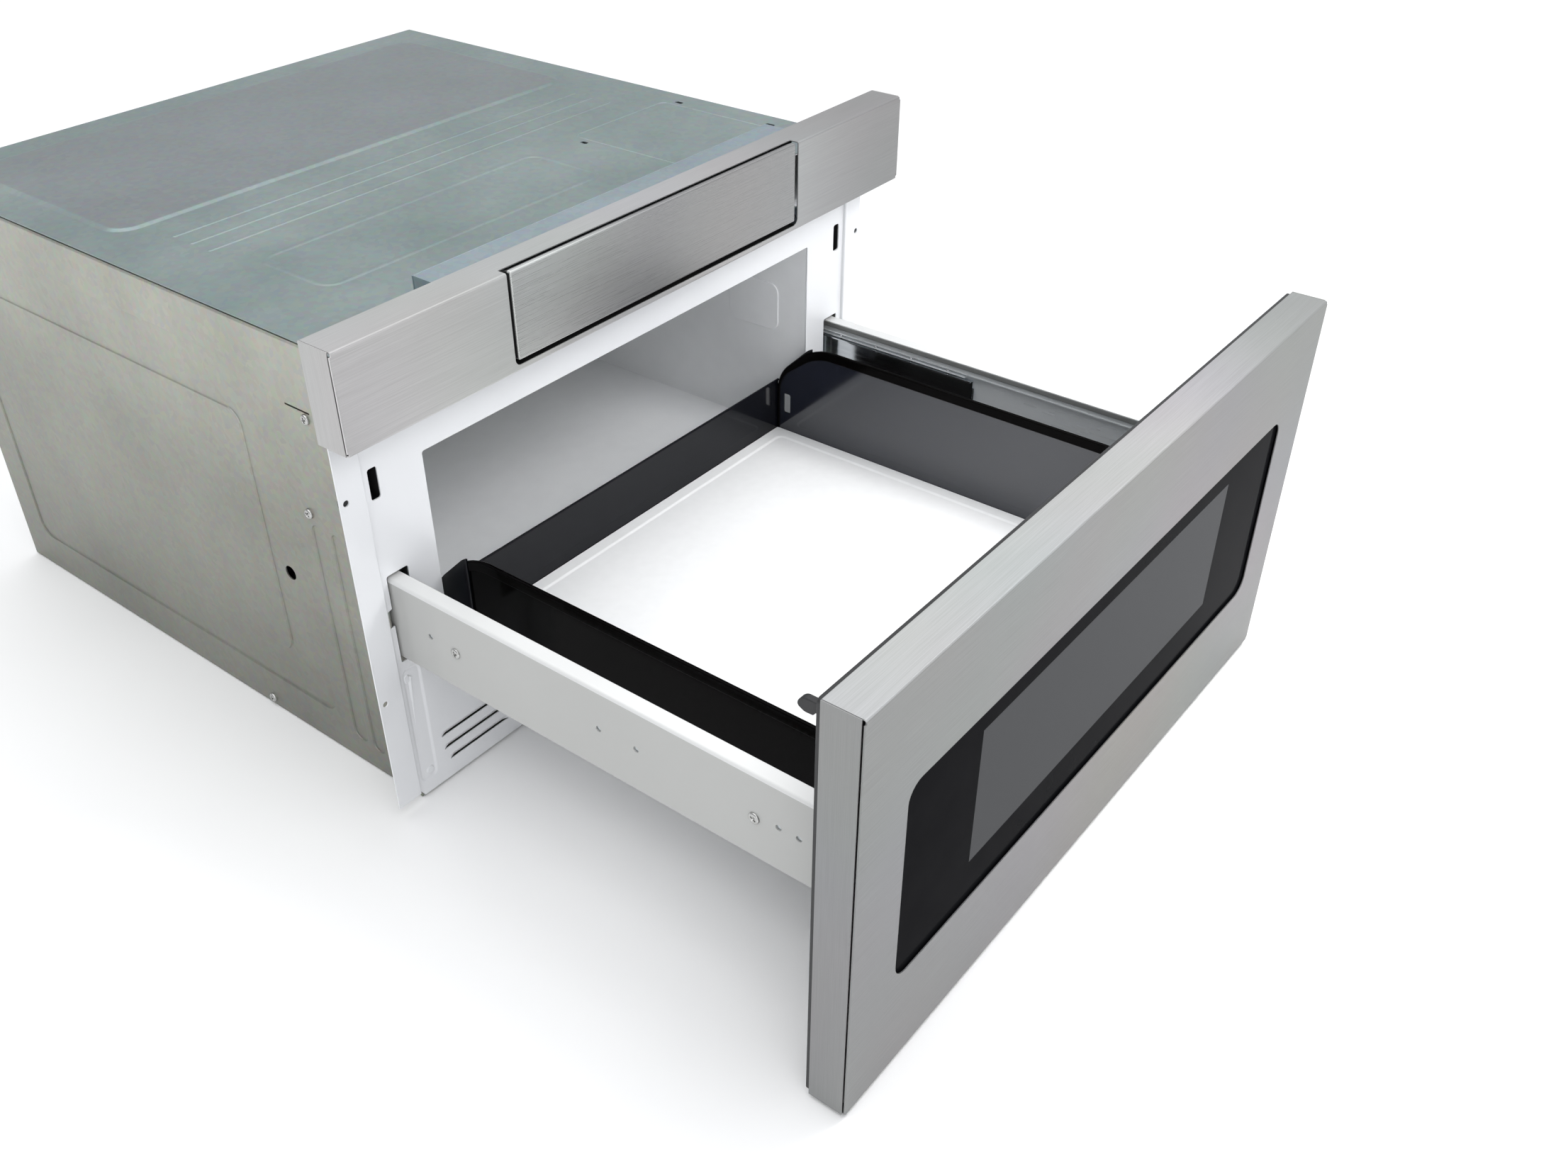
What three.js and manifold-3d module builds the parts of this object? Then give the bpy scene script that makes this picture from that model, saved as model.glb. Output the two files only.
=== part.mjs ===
// A 24-inch built-in microwave drawer, drawn out to the end of its travel.
// Millimetres, +Z up, the viewer stands at -Y. The origin is the centre of the case's bottom face.
// Inside each group, y is the distance behind that group's front face and z the height above the bottom.

import * as THREE from 'three';
import { mergeVertices } from 'three/addons/utils/BufferGeometryUtils.js';
import Module from 'manifold-3d';

const wasm = await Module();
wasm.setup();
const { Manifold, Mesh: SolidMesh } = wasm;

// ---------------------------------------------------------------- driving dimensions

const GAP = 0.3;                    // seam between two pieces that touch

// front band and door
const FRONT_OVERLAP = 33;           // band and door reach this far beyond each side of the case
const OVERALL_HEIGHT = 400;
const BAND_HEIGHT = 71;
const BAND_DEPTH = 29;
const SKIN = 1;                     // stainless steel sheet
const DOOR_TOP_DROP = 80.5;         // door's top edge below the band's top edge
const DOOR_CLEARANCE = 2.4;         // door's bottom edge above the surface the case stands on
const DOOR_DEPTH = 27.3;
const DOOR_BACK_COVER = 3;          // black cover behind the skin, with its seam
const WINDOW_SIDE = 47.3;           // door's edge to window's edge
const WINDOW_TOP = 79.1;
const WINDOW_BOTTOM = 80.3;
const WINDOW_CORNER = 13;
const GLASS = 3.2;
const GLASS_OVERLAP = 10;

// case
const CASE_WIDTH = 540;
const CASE_DROP = 29.5;             // top of the case below the top of the band
const OVERALL_DEPTH = 589;
const SHEET = 1;                    // galvanised case sheet
const PLATE = 1.2;                  // painted front plate, channels, brackets
const PLATE_SETBACK = 34.6;         // front plate behind the band's front face
const FLANGE_SETBACK = 31.5;
const FLANGE_STEP = 3;              // fold of the mounting flanges outside the case's side
const FLANGE_WIDTH = 22;
const BEAD = 0.8;                   // height of the pressed beads
const BEAD_WIDTH = 3;

// cavity and tray
const CAVITY_WIDTH = 442;
const CAVITY_FLOOR = 97;
const CAVITY_HEIGHT = 191;
const CAVITY_REAR = 455;
const OPENING_LIP = 3.5;            // the front plate hides this much of the cavity's height
const TRAY_SIDE_GAP = 13;
const TRAY_FLOOR_GAP = 4.5;
const TRAY_REAR_GAP = 16;
const TRAY_HEIGHT = 98.5;
const TRAY_BACK_HEIGHT = 56.5;
const TRAY_CHAMFER = 37;
const TRAY_SHEET = 1.2;
const FLOOR_THICKNESS = 4;

// slides
const DRAWER_TRAVEL = 384;
const CHANNEL_SIDE_GAP = 4;         // drawer channel's outer face inside the case's side
const CHANNEL_WIDTH = 12;
const CHANNEL_TOP = 203;
const CHANNEL_BOTTOM = 136;
const CHANNEL_REACH = 86;           // channel's length beyond the drawer's travel
const SLIDE_LEVEL = 170.5;          // middle height of the telescopic slides
const SLIDE_SHEET = 1.2;
const BALL_RADIUS = 1.95;
const BALLS_PER_ROW = 5;
const SLIDE_RACE = 4.4;             // space between two members for the balls

// drive
const GEAR_MODULE = 2;
const PINION_TEETH = 16;
const PINION_SETBACK = 62;
const GEAR_FACE = 7.6;
const BACKLASH = 0.15;

// control panel
const PANEL_OPENING = 316;
const PANEL_OPENING_DROP = 66.4;
const PANEL_SIDE_GAP = 2.5;
const PANEL_BOTTOM_GAP = 2.4;
const HINGE_SETBACK = 5;
const HINGE_DROP = 62;
const HOUSING_MARGIN = 32;          // housing beyond each end of the panel opening
const HOUSING_DEPTH = 57;
const HOUSING_DROP = 5;
const HOUSING_HEIGHT = 67;
const PIN_RADIUS = 2;

// cooling fan and microwave source
const FAN = { fromSide: 100, z: 240, radius: 56, tip: 52, blades: 5 };
const STIRRER = { y: 245, hole: 75, tip: 68 };
const MAGNETRON_GAP = 65;           // magnetron's axis behind the cavity's rear wall

// ---------------------------------------------------------------- derived places

const FRONT_Y = -(OVERALL_DEPTH + PLATE_SETBACK) / 2;
const BAND_BOTTOM = OVERALL_HEIGHT - BAND_HEIGHT;
const DOOR_TOP = OVERALL_HEIGHT - DOOR_TOP_DROP;
const HALF_CASE = CASE_WIDTH / 2;
const HALF_FRONT = HALF_CASE + FRONT_OVERLAP;
const CASE_HEIGHT = OVERALL_HEIGHT - CASE_DROP;
const FLANGE_FOLD = HALF_CASE + FLANGE_STEP;
const FLANGE_REACH = FLANGE_FOLD + FLANGE_WIDTH;
const PLATE_BACK = PLATE_SETBACK + PLATE;
const CASE_FRONT = PLATE_BACK + GAP;
const CASE_REAR = OVERALL_DEPTH - GAP;
const CAVITY_HALF = CAVITY_WIDTH / 2;
const CAVITY_CEILING = CAVITY_FLOOR + CAVITY_HEIGHT;
const OPENING_TOP = CAVITY_CEILING - OPENING_LIP;
const LINER_TOP = CAVITY_CEILING + SHEET;
const TRAY_HALF = CAVITY_HALF - TRAY_SIDE_GAP;
const TRAY_BOTTOM = CAVITY_FLOOR + TRAY_FLOOR_GAP;
const TRAY_TOP = TRAY_BOTTOM + TRAY_HEIGHT;
const TRAY_BACK_TOP = TRAY_BOTTOM + TRAY_BACK_HEIGHT;
const TRAY_REAR = CAVITY_REAR - TRAY_REAR_GAP;
const HOUSING_HALF = PANEL_OPENING / 2 + HOUSING_MARGIN;
const HOUSING_TOP = OVERALL_HEIGHT - HOUSING_DROP;
const HOUSING_BOTTOM = HOUSING_TOP - HOUSING_HEIGHT;
const EAR_INSIDE = PANEL_OPENING / 2 + 2;
const HINGE_LEVEL = OVERALL_HEIGHT - HINGE_DROP;
const PINION_RADIUS = (GEAR_MODULE * PINION_TEETH) / 2;
const PINION_LEVEL = CHANNEL_BOTTOM + 3 - PINION_RADIUS;
const PITCH_LEVEL = PINION_LEVEL + PINION_RADIUS;
const DOOR_BACK = DOOR_DEPTH + DOOR_BACK_COVER;
const TRAY_FRONT = DOOR_DEPTH + GAP;                         // the tray seats on the back of the door frame
const CHANNEL_FACE = HALF_CASE - CHANNEL_SIDE_GAP;
const CHANNEL_REAR = DRAWER_TRAVEL + CHANNEL_REACH;
const WEB_INSIDE = CHANNEL_FACE - PLATE;                     // inner face of a channel's web
const MAGNETRON_Y = CAVITY_REAR + MAGNETRON_GAP;
const FAN_Y = CASE_REAR - 14;
const FAN_X = HALF_CASE - FAN.fromSide;

// ---------------------------------------------------------------- materials

const finish = (name, color, roughness, metalness, more = {}) =>
  Object.assign(new THREE.MeshStandardMaterial({ color, roughness, metalness, flatShading: true, ...more }),
    { name });
const FINISH = {
  stainless: () => finish('stainless', 0xb3b1ae, 0.34, 1),
  white: () => finish('white_paint', 0xe6e6e9, 0.4, 0),
  grey: () => finish('grey_paint', 0xd3d3d0, 0.42, 0),
  galvanised: () => finish('galvanised', 0x9fa39c, 0.5, 0.8),
  zinc: () => finish('zinc', 0xb9bec2, 0.32, 0.9),
  enamel: () => finish('black_enamel', 0x14151a, 0.25, 0.1),
  ceramic: () => finish('white_ceramic', 0xf7f8fa, 0.25, 0),
  glass: () => finish('black_glass', 0x0a0a0c, 0.06, 0),
  black: () => finish('black_plastic', 0x121214, 0.5, 0),
  nylon: () => finish('nylon', 0xe9e6da, 0.5, 0),
  copper: () => finish('winding', 0x8a4a22, 0.45, 0.6),
  core: () => finish('laminations', 0x55585c, 0.55, 0.8),
  aluminium: () => finish('aluminium', 0xc4c6c8, 0.4, 0.9),
  board: () => finish('circuit_board', 0x1f5a38, 0.6, 0),
  bulb: () => finish('lamp_glass', 0xeeeae0, 0.1, 0),
};

// ---------------------------------------------------------------- solids

function solid(geometry) {
  const bare = geometry.clone();
  bare.deleteAttribute('normal');
  bare.deleteAttribute('uv');
  const merged = mergeVertices(bare, 1e-4);
  return new Manifold(new SolidMesh({
    numProp: 3,
    vertProperties: new Float32Array(merged.attributes.position.array),
    triVerts: new Uint32Array(merged.index.array),
  }));
}

function block(x, y, z) {
  const [size, middle] = [x, y, z].reduce(([s, m], [low, high]) =>
    [[...s, Math.abs(high - low)], [...m, (low + high) / 2]], [[], []]);
  return solid(new THREE.BoxGeometry(...size).translate(...middle));
}

// A flat outline pushed along an axis: (y, z) outlines along x, (x, z) along y and (x, y) along z.
const TURN = {
  x: new THREE.Matrix4().makeBasis(new THREE.Vector3(0, 1, 0), new THREE.Vector3(0, 0, 1),
    new THREE.Vector3(1, 0, 0)),
  y: new THREE.Matrix4().makeBasis(new THREE.Vector3(1, 0, 0), new THREE.Vector3(0, 0, 1),
    new THREE.Vector3(0, -1, 0)),
  z: new THREE.Matrix4(),
};
function prism(axis, shape, from, to, curveSegments = 2) {
  const start = axis === 'y' ? -Math.max(from, to) : Math.min(from, to);
  const geometry = new THREE.ExtrudeGeometry(shape,
    { depth: Math.abs(to - from), bevelEnabled: false, curveSegments });
  return solid(geometry.translate(0, 0, start).applyMatrix4(TURN[axis]));
}

const outline = (points) => new THREE.Shape(points.map(([u, v]) => new THREE.Vector2(u, v)));
const disc = (u, v, radius) => new THREE.Shape().absarc(u, v, radius, 0, 2 * Math.PI);
const rod = (axis, u, v, radius, from, to, around = 8) => prism(axis, disc(u, v, radius), from, to, around);

function roundedRect(u0, u1, v0, v1, r) {
  return new THREE.Shape()
    .moveTo(u0 + r, v0).lineTo(u1 - r, v0).absarc(u1 - r, v0 + r, r, -Math.PI / 2, 0)
    .lineTo(u1, v1 - r).absarc(u1 - r, v1 - r, r, 0, Math.PI / 2)
    .lineTo(u0 + r, v1).absarc(u0 + r, v1 - r, r, Math.PI / 2, Math.PI)
    .lineTo(u0, v0 + r).absarc(u0 + r, v0 + r, r, Math.PI, 1.5 * Math.PI);
}

const withHoles = (shape, holes) => Object.assign(shape, { holes });
const ring = (u0, u1, v0, v1, r, width) =>
  withHoles(roundedRect(u0, u1, v0, v1, r),
    [roundedRect(u0 + width, u1 - width, v0 + width, v1 - width, r - width)]);

// The section of a folded strip of sheet, from the middle line of its thickness.
function strip(points, thickness) {
  const sides = [1, -1].map((side) => points.map((p, i) => {
    const before = points[Math.max(i - 1, 0)];
    const after = points[Math.min(i + 1, points.length - 1)];
    const normal = ([a, b], [c, d]) => {
      const length = Math.hypot(c - a, d - b);
      return [-(d - b) / length, (c - a) / length];
    };
    const first = i ? normal(before, p) : normal(p, after);
    const second = i < points.length - 1 ? normal(p, after) : first;
    const scale = (side * thickness) / 2 / (1 + first[0] * second[0] + first[1] * second[1]);
    return [p[0] + (first[0] + second[0]) * scale, p[1] + (first[1] + second[1]) * scale];
  }));
  return outline([...sides[0], ...sides[1].reverse()]);
}

const grown = ([low, high], by) => [low - by, high + by];

const join = (...pieces) => pieces.reduce((sum, piece) => sum.add(piece));
const cut = (body, ...tools) => tools.reduce((rest, tool) => rest.subtract(tool), body);

function geometryOf(body) {
  const mesh = body.getMesh();
  const geometry = new THREE.BufferGeometry();
  geometry.setAttribute('position', new THREE.BufferAttribute(new Float32Array(mesh.vertProperties), 3));
  geometry.setIndex(new THREE.BufferAttribute(new Uint32Array(mesh.triVerts), 1));
  return geometry;
}

// The same piece for the other side of the product.
function mirrored(body) {
  const geometry = geometryOf(body);
  geometry.applyMatrix4(new THREE.Matrix4().makeScale(-1, 1, 1));
  const index = geometry.index.array;
  for (let i = 0; i < index.length; i += 3) [index[i], index[i + 1]] = [index[i + 1], index[i]];
  return solid(geometry);
}

function add(group, name, body, material) {
  const mesh = new THREE.Mesh(geometryOf(body), material());
  mesh.name = name;
  group.add(mesh);
}

function addPair(group, name, rightBody, material) {
  add(group, `${name}_right`, rightBody, material);
  add(group, `${name}_left`, mirrored(rightBody), material);
}

// ---------------------------------------------------------------- front band and control panel housing

function frontBand() {
  const outside = block([-HALF_FRONT, HALF_FRONT], [0, BAND_DEPTH], [BAND_BOTTOM, OVERALL_HEIGHT]);
  const inside = block([-HALF_FRONT + SKIN, HALF_FRONT - SKIN], [SKIN, BAND_DEPTH + 1],
    [BAND_BOTTOM + SKIN, OVERALL_HEIGHT - SKIN]);
  const opening = prism('y', roundedRect(-PANEL_OPENING / 2, PANEL_OPENING / 2,
    OVERALL_HEIGHT - PANEL_OPENING_DROP, OVERALL_HEIGHT + 20, 5), -1, SKIN + 1);
  const topNotch = block([-PANEL_OPENING / 2, PANEL_OPENING / 2], [-1, 8.5],
    [OVERALL_HEIGHT - 2, OVERALL_HEIGHT + 1]);
  return cut(outside, inside, opening, topNotch);
}

// Folded frame behind the band that carries the control panel between two pierced ears.
function panelHousing() {
  const front = BAND_DEPTH + 1;
  const back = HOUSING_DEPTH - PLATE - GAP;
  const shell = cut(block([-HOUSING_HALF, HOUSING_HALF], [front, back], [HOUSING_BOTTOM, HOUSING_TOP]),
    block([-HOUSING_HALF + PLATE, HOUSING_HALF - PLATE], [front - 1, back + 1],
      [HOUSING_BOTTOM + PLATE, HOUSING_TOP - PLATE]));
  const [lip, nose, earTop] = [HINGE_LEVEL - 6.5, HINGE_LEVEL + 8, HOUSING_TOP - 14];
  const ear = prism('x', outline([[1.8, lip], [front + 2, lip], [front + 4, HOUSING_BOTTOM],
    [back, HOUSING_BOTTOM], [back, earTop], [front + 4, earTop], [2 * HINGE_SETBACK, nose], [1.8, nose]]),
    EAR_INSIDE, EAR_INSIDE + 1.5);
  const bore = rod('x', HINGE_SETBACK, HINGE_LEVEL, PIN_RADIUS + GAP, EAR_INSIDE - 1, EAR_INSIDE + 3);
  const piercedEar = cut(ear, bore);
  return join(shell, piercedEar, mirrored(piercedEar));
}

// Flat sheet spot-welded over the back of the housing.
function housingBack() {
  return block([-HOUSING_HALF, HOUSING_HALF], [HOUSING_DEPTH - PLATE, HOUSING_DEPTH],
    [HOUSING_BOTTOM, HOUSING_TOP]);
}

function panelMotor() {
  const depth = [HOUSING_DEPTH - 23, HOUSING_DEPTH - 3];
  const body = block([EAR_INSIDE + 4, HOUSING_HALF - 4], depth, [HINGE_LEVEL - 8, HINGE_LEVEL + 18]);
  const boss = rod('x', depth[0] + 10, HINGE_LEVEL + 4, 6, EAR_INSIDE + 1.8, EAR_INSIDE + 5);
  return join(body, boss);
}

function controlBoard() {
  const face = HOUSING_DEPTH + 5;
  const low = HOUSING_BOTTOM - 28;
  const parts = face + 1;
  const board = block([-120, 120], [face, face + 1.6], [low, low + 64]);
  const relays = [-90, -60, 30].map((x) => block([x, x + 22], [parts, parts + 17], [low + 12, low + 30]));
  const supply = block([60, 100], [parts, parts + 29], [low + 8, low + 44]);
  const reservoir = rod('y', -10, low + 30, 9, parts, parts + 27, 4);
  const standoffs = [[-112, 40], [112, 40], [-112, 58], [112, 58]].map(([x, up]) =>
    rod('y', x, low + up, 3, HOUSING_DEPTH + GAP, face + 0.5, 3));
  return join(board, ...relays, supply, reservoir, ...standoffs);
}

// ---------------------------------------------------------------- case

const LATCH_SLOT = { x: [HALF_CASE - 10.5, HALF_CASE - 2.5], z: [267.5, 291.5] };
const RAIL_CUT = {
  inner: CHANNEL_FACE - CHANNEL_WIDTH - 6,
  outer: CHANNEL_FACE + 1.5,
  notch: FLANGE_FOLD - 0.4,
  top: CHANNEL_TOP + 3,
  bottom: CHANNEL_BOTTOM - 5,
  notchZ: [164, 176],
};
const LOUVRES = [[67, 43], [66, 30], [62, 17.5]];            // length and level
const LOUVRE_START = 177;
const FLANGE_HOLES = [278, 108];
const PLATE_CHAMFER = { across: 5, foot: 0.6, shoulder: 10 };

function frontPlate() {
  const notchHalf = HOUSING_HALF + GAP;
  const notchBottom = HOUSING_BOTTOM - GAP;
  const side = FLANGE_FOLD;
  const { across, foot, shoulder } = PLATE_CHAMFER;
  const rightEdge = [[side - across, foot], [side, shoulder], [side, CASE_HEIGHT], [notchHalf, CASE_HEIGHT],
    [notchHalf, notchBottom]];
  const leftEdge = rightEdge.map(([x, z]) => [-x, z]).reverse();
  const sheet = outline([...rightEdge, ...leftEdge]);
  const through = [PLATE_SETBACK - 1, PLATE_BACK + 1];
  const halfCuts = () => {
    const { inner, outer, notch, top, bottom, notchZ } = RAIL_CUT;
    return join(
      prism('y', roundedRect(...LATCH_SLOT.x, ...LATCH_SLOT.z, 2), ...through, 1),
      prism('y', outline([[inner, bottom], [outer, bottom], [outer, notchZ[0]], [notch, notchZ[0]],
        [notch, notchZ[1]],
        [outer, notchZ[1] + 2], [outer, top], [inner, top]]), ...through),
      ...LOUVRES.map(([length, z]) =>
        prism('y', roundedRect(LOUVRE_START, LOUVRE_START + length, z - 2, z + 2, 1.9),
        ...through, 1)));
  };
  const flange = () => cut(
    join(block([FLANGE_FOLD - PLATE / 2, FLANGE_FOLD + PLATE / 2], [FLANGE_SETBACK, PLATE_BACK],
      [10, CASE_HEIGHT - 4]),
      block([FLANGE_FOLD - PLATE / 2, FLANGE_REACH], [FLANGE_SETBACK, FLANGE_SETBACK + PLATE],
        [8.5, CASE_HEIGHT - 4])),
    ...FLANGE_HOLES.map((z) => rod('y', FLANGE_REACH - 5.3, z, 2.4, FLANGE_SETBACK - 1,
      FLANGE_SETBACK + PLATE + 1, 4)));
  const cuts = halfCuts();
  const opening = prism('y', roundedRect(-CAVITY_HALF, CAVITY_HALF, CAVITY_FLOOR + 1, OPENING_TOP, 2),
    ...through);
  const rightFlange = flange();
  return join(cut(prism('y', sheet, PLATE_SETBACK, PLATE_BACK), opening, cuts, mirrored(cuts)),
    rightFlange, mirrored(rightFlange));
}

const BEAD_ROOT = 0.2;              // how deep a bead's own solid starts in the sheet
const beads = (u0, u1, v0, v1, r, from, to, axis) =>
  prism(axis, ring(u0, u1, v0, v1, r, BEAD_WIDTH), from, to, 1);

function sidePanel() {
  const height = CASE_HEIGHT - SHEET - GAP;
  const inner = HALF_CASE - SHEET;
  const wall = block([inner, HALF_CASE], [CASE_FRONT, CASE_REAR], [GAP, height]);
  const topFlange = block([inner - 14, HALF_CASE], [HOUSING_DEPTH + 4, CASE_REAR - 4],
    [height - SHEET, height]);
  const hole = rod('x', 151, 161, 6, inner - 1, HALF_CASE + 1, 5);
  const face = [HALF_CASE - BEAD_ROOT, HALF_CASE + BEAD, 'x'];
  return cut(join(wall, topFlange,
    beads(74, 88, 20, 223, 6.5, ...face),
    beads(93, 110, 22, 223, 8, ...face),
    beads(128, OVERALL_DEPTH - 33, 35, CASE_HEIGHT - 36.5, 14, ...face),
    beads(172, OVERALL_DEPTH - 77, 77, CASE_HEIGHT - 80.5, 12, ...face)), hole);
}

function topCover() {
  const level = [CASE_HEIGHT - SHEET, CASE_HEIGHT];
  const sheet = cut(block([-HALF_CASE, HALF_CASE], [CASE_FRONT, OVERALL_DEPTH], level),
    block([-HOUSING_HALF - GAP, HOUSING_HALF + GAP], [CASE_FRONT - 1, HOUSING_DEPTH + GAP],
      [level[0] - 1, level[1] + 1]));
  const root = CASE_HEIGHT - BEAD_ROOT;
  const face = [root, CASE_HEIGHT + BEAD, 'z'];
  const [raisedHalf, ribHalf] = [HALF_CASE - 30, HALF_CASE - 55];
  const raised = prism('z', roundedRect(-raisedHalf, raisedHalf, OVERALL_DEPTH - 259, OVERALL_DEPTH - 29,
    22),
    root, CASE_HEIGHT + 1.5, 4);
  const loops = [beads(64 - HALF_CASE, 76, 129, 214, 16, ...face),
    beads(HALF_CASE - 144, HALF_CASE - 24, 90, 218, 10, ...face)];
  const ribs = [252, 274, 296].map((y) =>
    block([-ribHalf, ribHalf], [y, y + BEAD_WIDTH], [root, CASE_HEIGHT + BEAD]));
  return join(sheet, raised, ...loops, ...ribs);
}

function basePan() {
  const half = HALF_CASE - SHEET - GAP;
  const rear = CASE_REAR - SHEET - GAP;
  const lip = 12;
  return cut(block([-half, half], [CASE_FRONT, rear], [0, lip]),
    block([-half + SHEET, half - SHEET], [CASE_FRONT + SHEET, rear - SHEET], [SHEET, lip + 1]));
}

const CORD_HOLE = { x: 65 - HALF_CASE, z: 60, radius: 10 };

function rearPanel() {
  const half = HALF_CASE - SHEET - GAP;
  const sheet = block([-half, half], [CASE_REAR - SHEET, CASE_REAR], [GAP, CASE_HEIGHT - SHEET - GAP]);
  const through = [CASE_REAR - SHEET - 1, CASE_REAR + 1];
  const slots = Array.from({ length: 9 }, (_, i) => FAN.z - 48 + i * 12)
    .map((z) => prism('y', roundedRect(FAN_X - 50, FAN_X + 50, z - 2.2, z + 2.2, 2.1), ...through, 1));
  return cut(sheet, ...slots, rod('y', CORD_HOLE.x, CORD_HOLE.z, CORD_HOLE.radius, ...through, 8));
}

function cordGrommet() {
  const r = CORD_HOLE.radius;
  const profile = [[5, -5], [r + 3.5, -5], [r + 3.5, -1 - GAP], [r - GAP, -1 - GAP], [r - GAP, GAP],
    [r + 3.5, GAP],
    [r + 2.5, 3], [5, 3], [5, -5]];
  const turned = new THREE.LatheGeometry(profile.map(([a, b]) => new THREE.Vector2(a, b)), 16);
  return solid(turned.translate(CORD_HOLE.x, CASE_REAR, CORD_HOLE.z));
}

// ---------------------------------------------------------------- cavity

function cavityLiner() {
  const half = CAVITY_HALF + SHEET;
  const shell = join(
    block([-half, half], [CASE_FRONT, CAVITY_REAR + SHEET], [CAVITY_FLOOR - SHEET, LINER_TOP]),
    block([-half - 9, half + 9], [CASE_FRONT, CASE_FRONT + SHEET], [CAVITY_FLOOR - 9, LINER_TOP + 9]));
  const inside = block([-CAVITY_HALF, CAVITY_HALF], [CASE_FRONT - 1, CAVITY_REAR],
    [CAVITY_FLOOR, CAVITY_CEILING]);
  const stirrerHole = rod('z', 0, STIRRER.y, STIRRER.hole, CAVITY_CEILING - 1, LINER_TOP + 1, 8);
  const pressing = prism('x', roundedRect(66, 122, CAVITY_FLOOR + 99, CAVITY_FLOOR + 144, 9),
    CAVITY_HALF - 1.2,
    CAVITY_HALF + 0.4, 3);
  return join(cut(shell, inside, stirrerHole), pressing);
}

function waveguide() {
  const bottom = LINER_TOP + GAP;
  const top = bottom + 41;
  const form = (inset) => join(
    block([-85 + inset, 85 - inset], [160 + inset, 330 - inset], [bottom + inset, top - inset]),
    block([-45 + inset, 45 - inset], [320, MAGNETRON_Y + 52 - inset], [bottom + inset, top - inset]));
  return cut(form(0), form(PLATE),
    rod('z', 0, STIRRER.y, STIRRER.hole, bottom - 1, bottom + 3, 8),
    rod('z', 0, STIRRER.y, 5, top - 3, top + 1, 4),
    rod('z', 0, MAGNETRON_Y, 16, bottom - 1, bottom + 3, 5));
}

function stirrerMotor() {
  const seat = LINER_TOP + 41 + 2 * GAP;
  return cut(join(block([-26, 26], [STIRRER.y - 26, STIRRER.y + 26], [seat, seat + 20]),
    block([-38, 38], [STIRRER.y - 9, STIRRER.y + 9], [seat, seat + 1.5])),
    rod('z', 0, STIRRER.y, 3.5, seat - 1, seat + 15, 4));
}

function stirrerCover() {
  const top = CAVITY_CEILING - GAP;
  return join(prism('z', roundedRect(-90, 90, STIRRER.y - 90, STIRRER.y + 90, 10), top - 1.4, top, 3),
    ...[[-80, -80], [80, -80], [-80, 80], [80, 80]].map(([x, y]) =>
      rod('z', x, STIRRER.y + y, 5, top - 3, top - 1, 3)));
}

// Four unlike blades on a hub, with the spindle that runs up into the motor. Local origin on its axis.
function stirrer() {
  const blades = [[0, STIRRER.tip, 15], [Math.PI / 2, 58, 19], [Math.PI, STIRRER.tip, 13],
    [-Math.PI / 2, 62, 17]]
    .map(([angle, reach, width]) => solid(new THREE.BoxGeometry(reach, 2 * width, 1)
      .translate(reach / 2, 0, 0).rotateX(0.22).rotateZ(angle)));
  return join(rod('z', 0, 0, 12, -3, 3, 5), rod('z', 0, 0, 3, 0, 33, 4), ...blades);
}

function magnetron() {
  const top = LINER_TOP;
  const height = 84;
  const yoke = cut(block([-48, 48], [MAGNETRON_Y - 40, MAGNETRON_Y + 40], [top - height, top]),
    block([-45, 45], [MAGNETRON_Y - 41, MAGNETRON_Y + 41], [top - height + 3, top - 3]));
  const fins = Array.from({ length: 9 }, (_, i) => top - height + 12 + i * 7.5)
    .map((z) => block([-45.5, 45.5], [MAGNETRON_Y - 36, MAGNETRON_Y + 36], [z, z + 1]));
  return join(yoke, ...fins, rod('z', 0, MAGNETRON_Y, 18, top - height + 1, top - 1, 5),
    rod('z', 0, MAGNETRON_Y, 9, top - 1, top + 30, 5),
    block([-28, 28], [MAGNETRON_Y - 32, MAGNETRON_Y + 32], [top - height - 34, top - height + 1]));
}

// ---------------------------------------------------------------- power parts on the base pan

const TRANSFORMER = { x: 98 - HALF_CASE, y: [490, 550], width: 105, height: 90, leg: 35,
  window: [17.5, 52] };

function transformerCore() {
  const { x, y, width, height, leg, window: [across, tall] } = TRANSFORMER;
  const foot = SHEET + GAP;
  const low = foot + (height - tall) / 2;
  const windows = [-1, 1].map((side) => {
    const near = x + side * leg / 2;
    return block([near, near + side * across], [y[0] - 1, y[1] + 1], [low, low + tall]);
  });
  return cut(join(block([x - width / 2, x + width / 2], y, [foot, foot + height]),
    block([x - width / 2 - 8, x + width / 2 + 8], y, [foot, foot + 2])), ...windows);
}

function transformerCoil() {
  const { x, y, height, leg, window: [across, tall] } = TRANSFORMER;
  const low = SHEET + GAP + (height - tall) / 2 + GAP;
  const reach = leg / 2 + across - GAP;
  const outer = prism('z', roundedRect(x - reach, x + reach, y[0] - across, y[1] + across, 9), low,
    low + tall - 2 * GAP, 3);
  const hole = block([x - leg / 2 - GAP, x + leg / 2 + GAP], [y[0] - GAP, y[1] + GAP],
    [low - 1, low + tall]);
  return cut(outer, hole);
}

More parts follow.
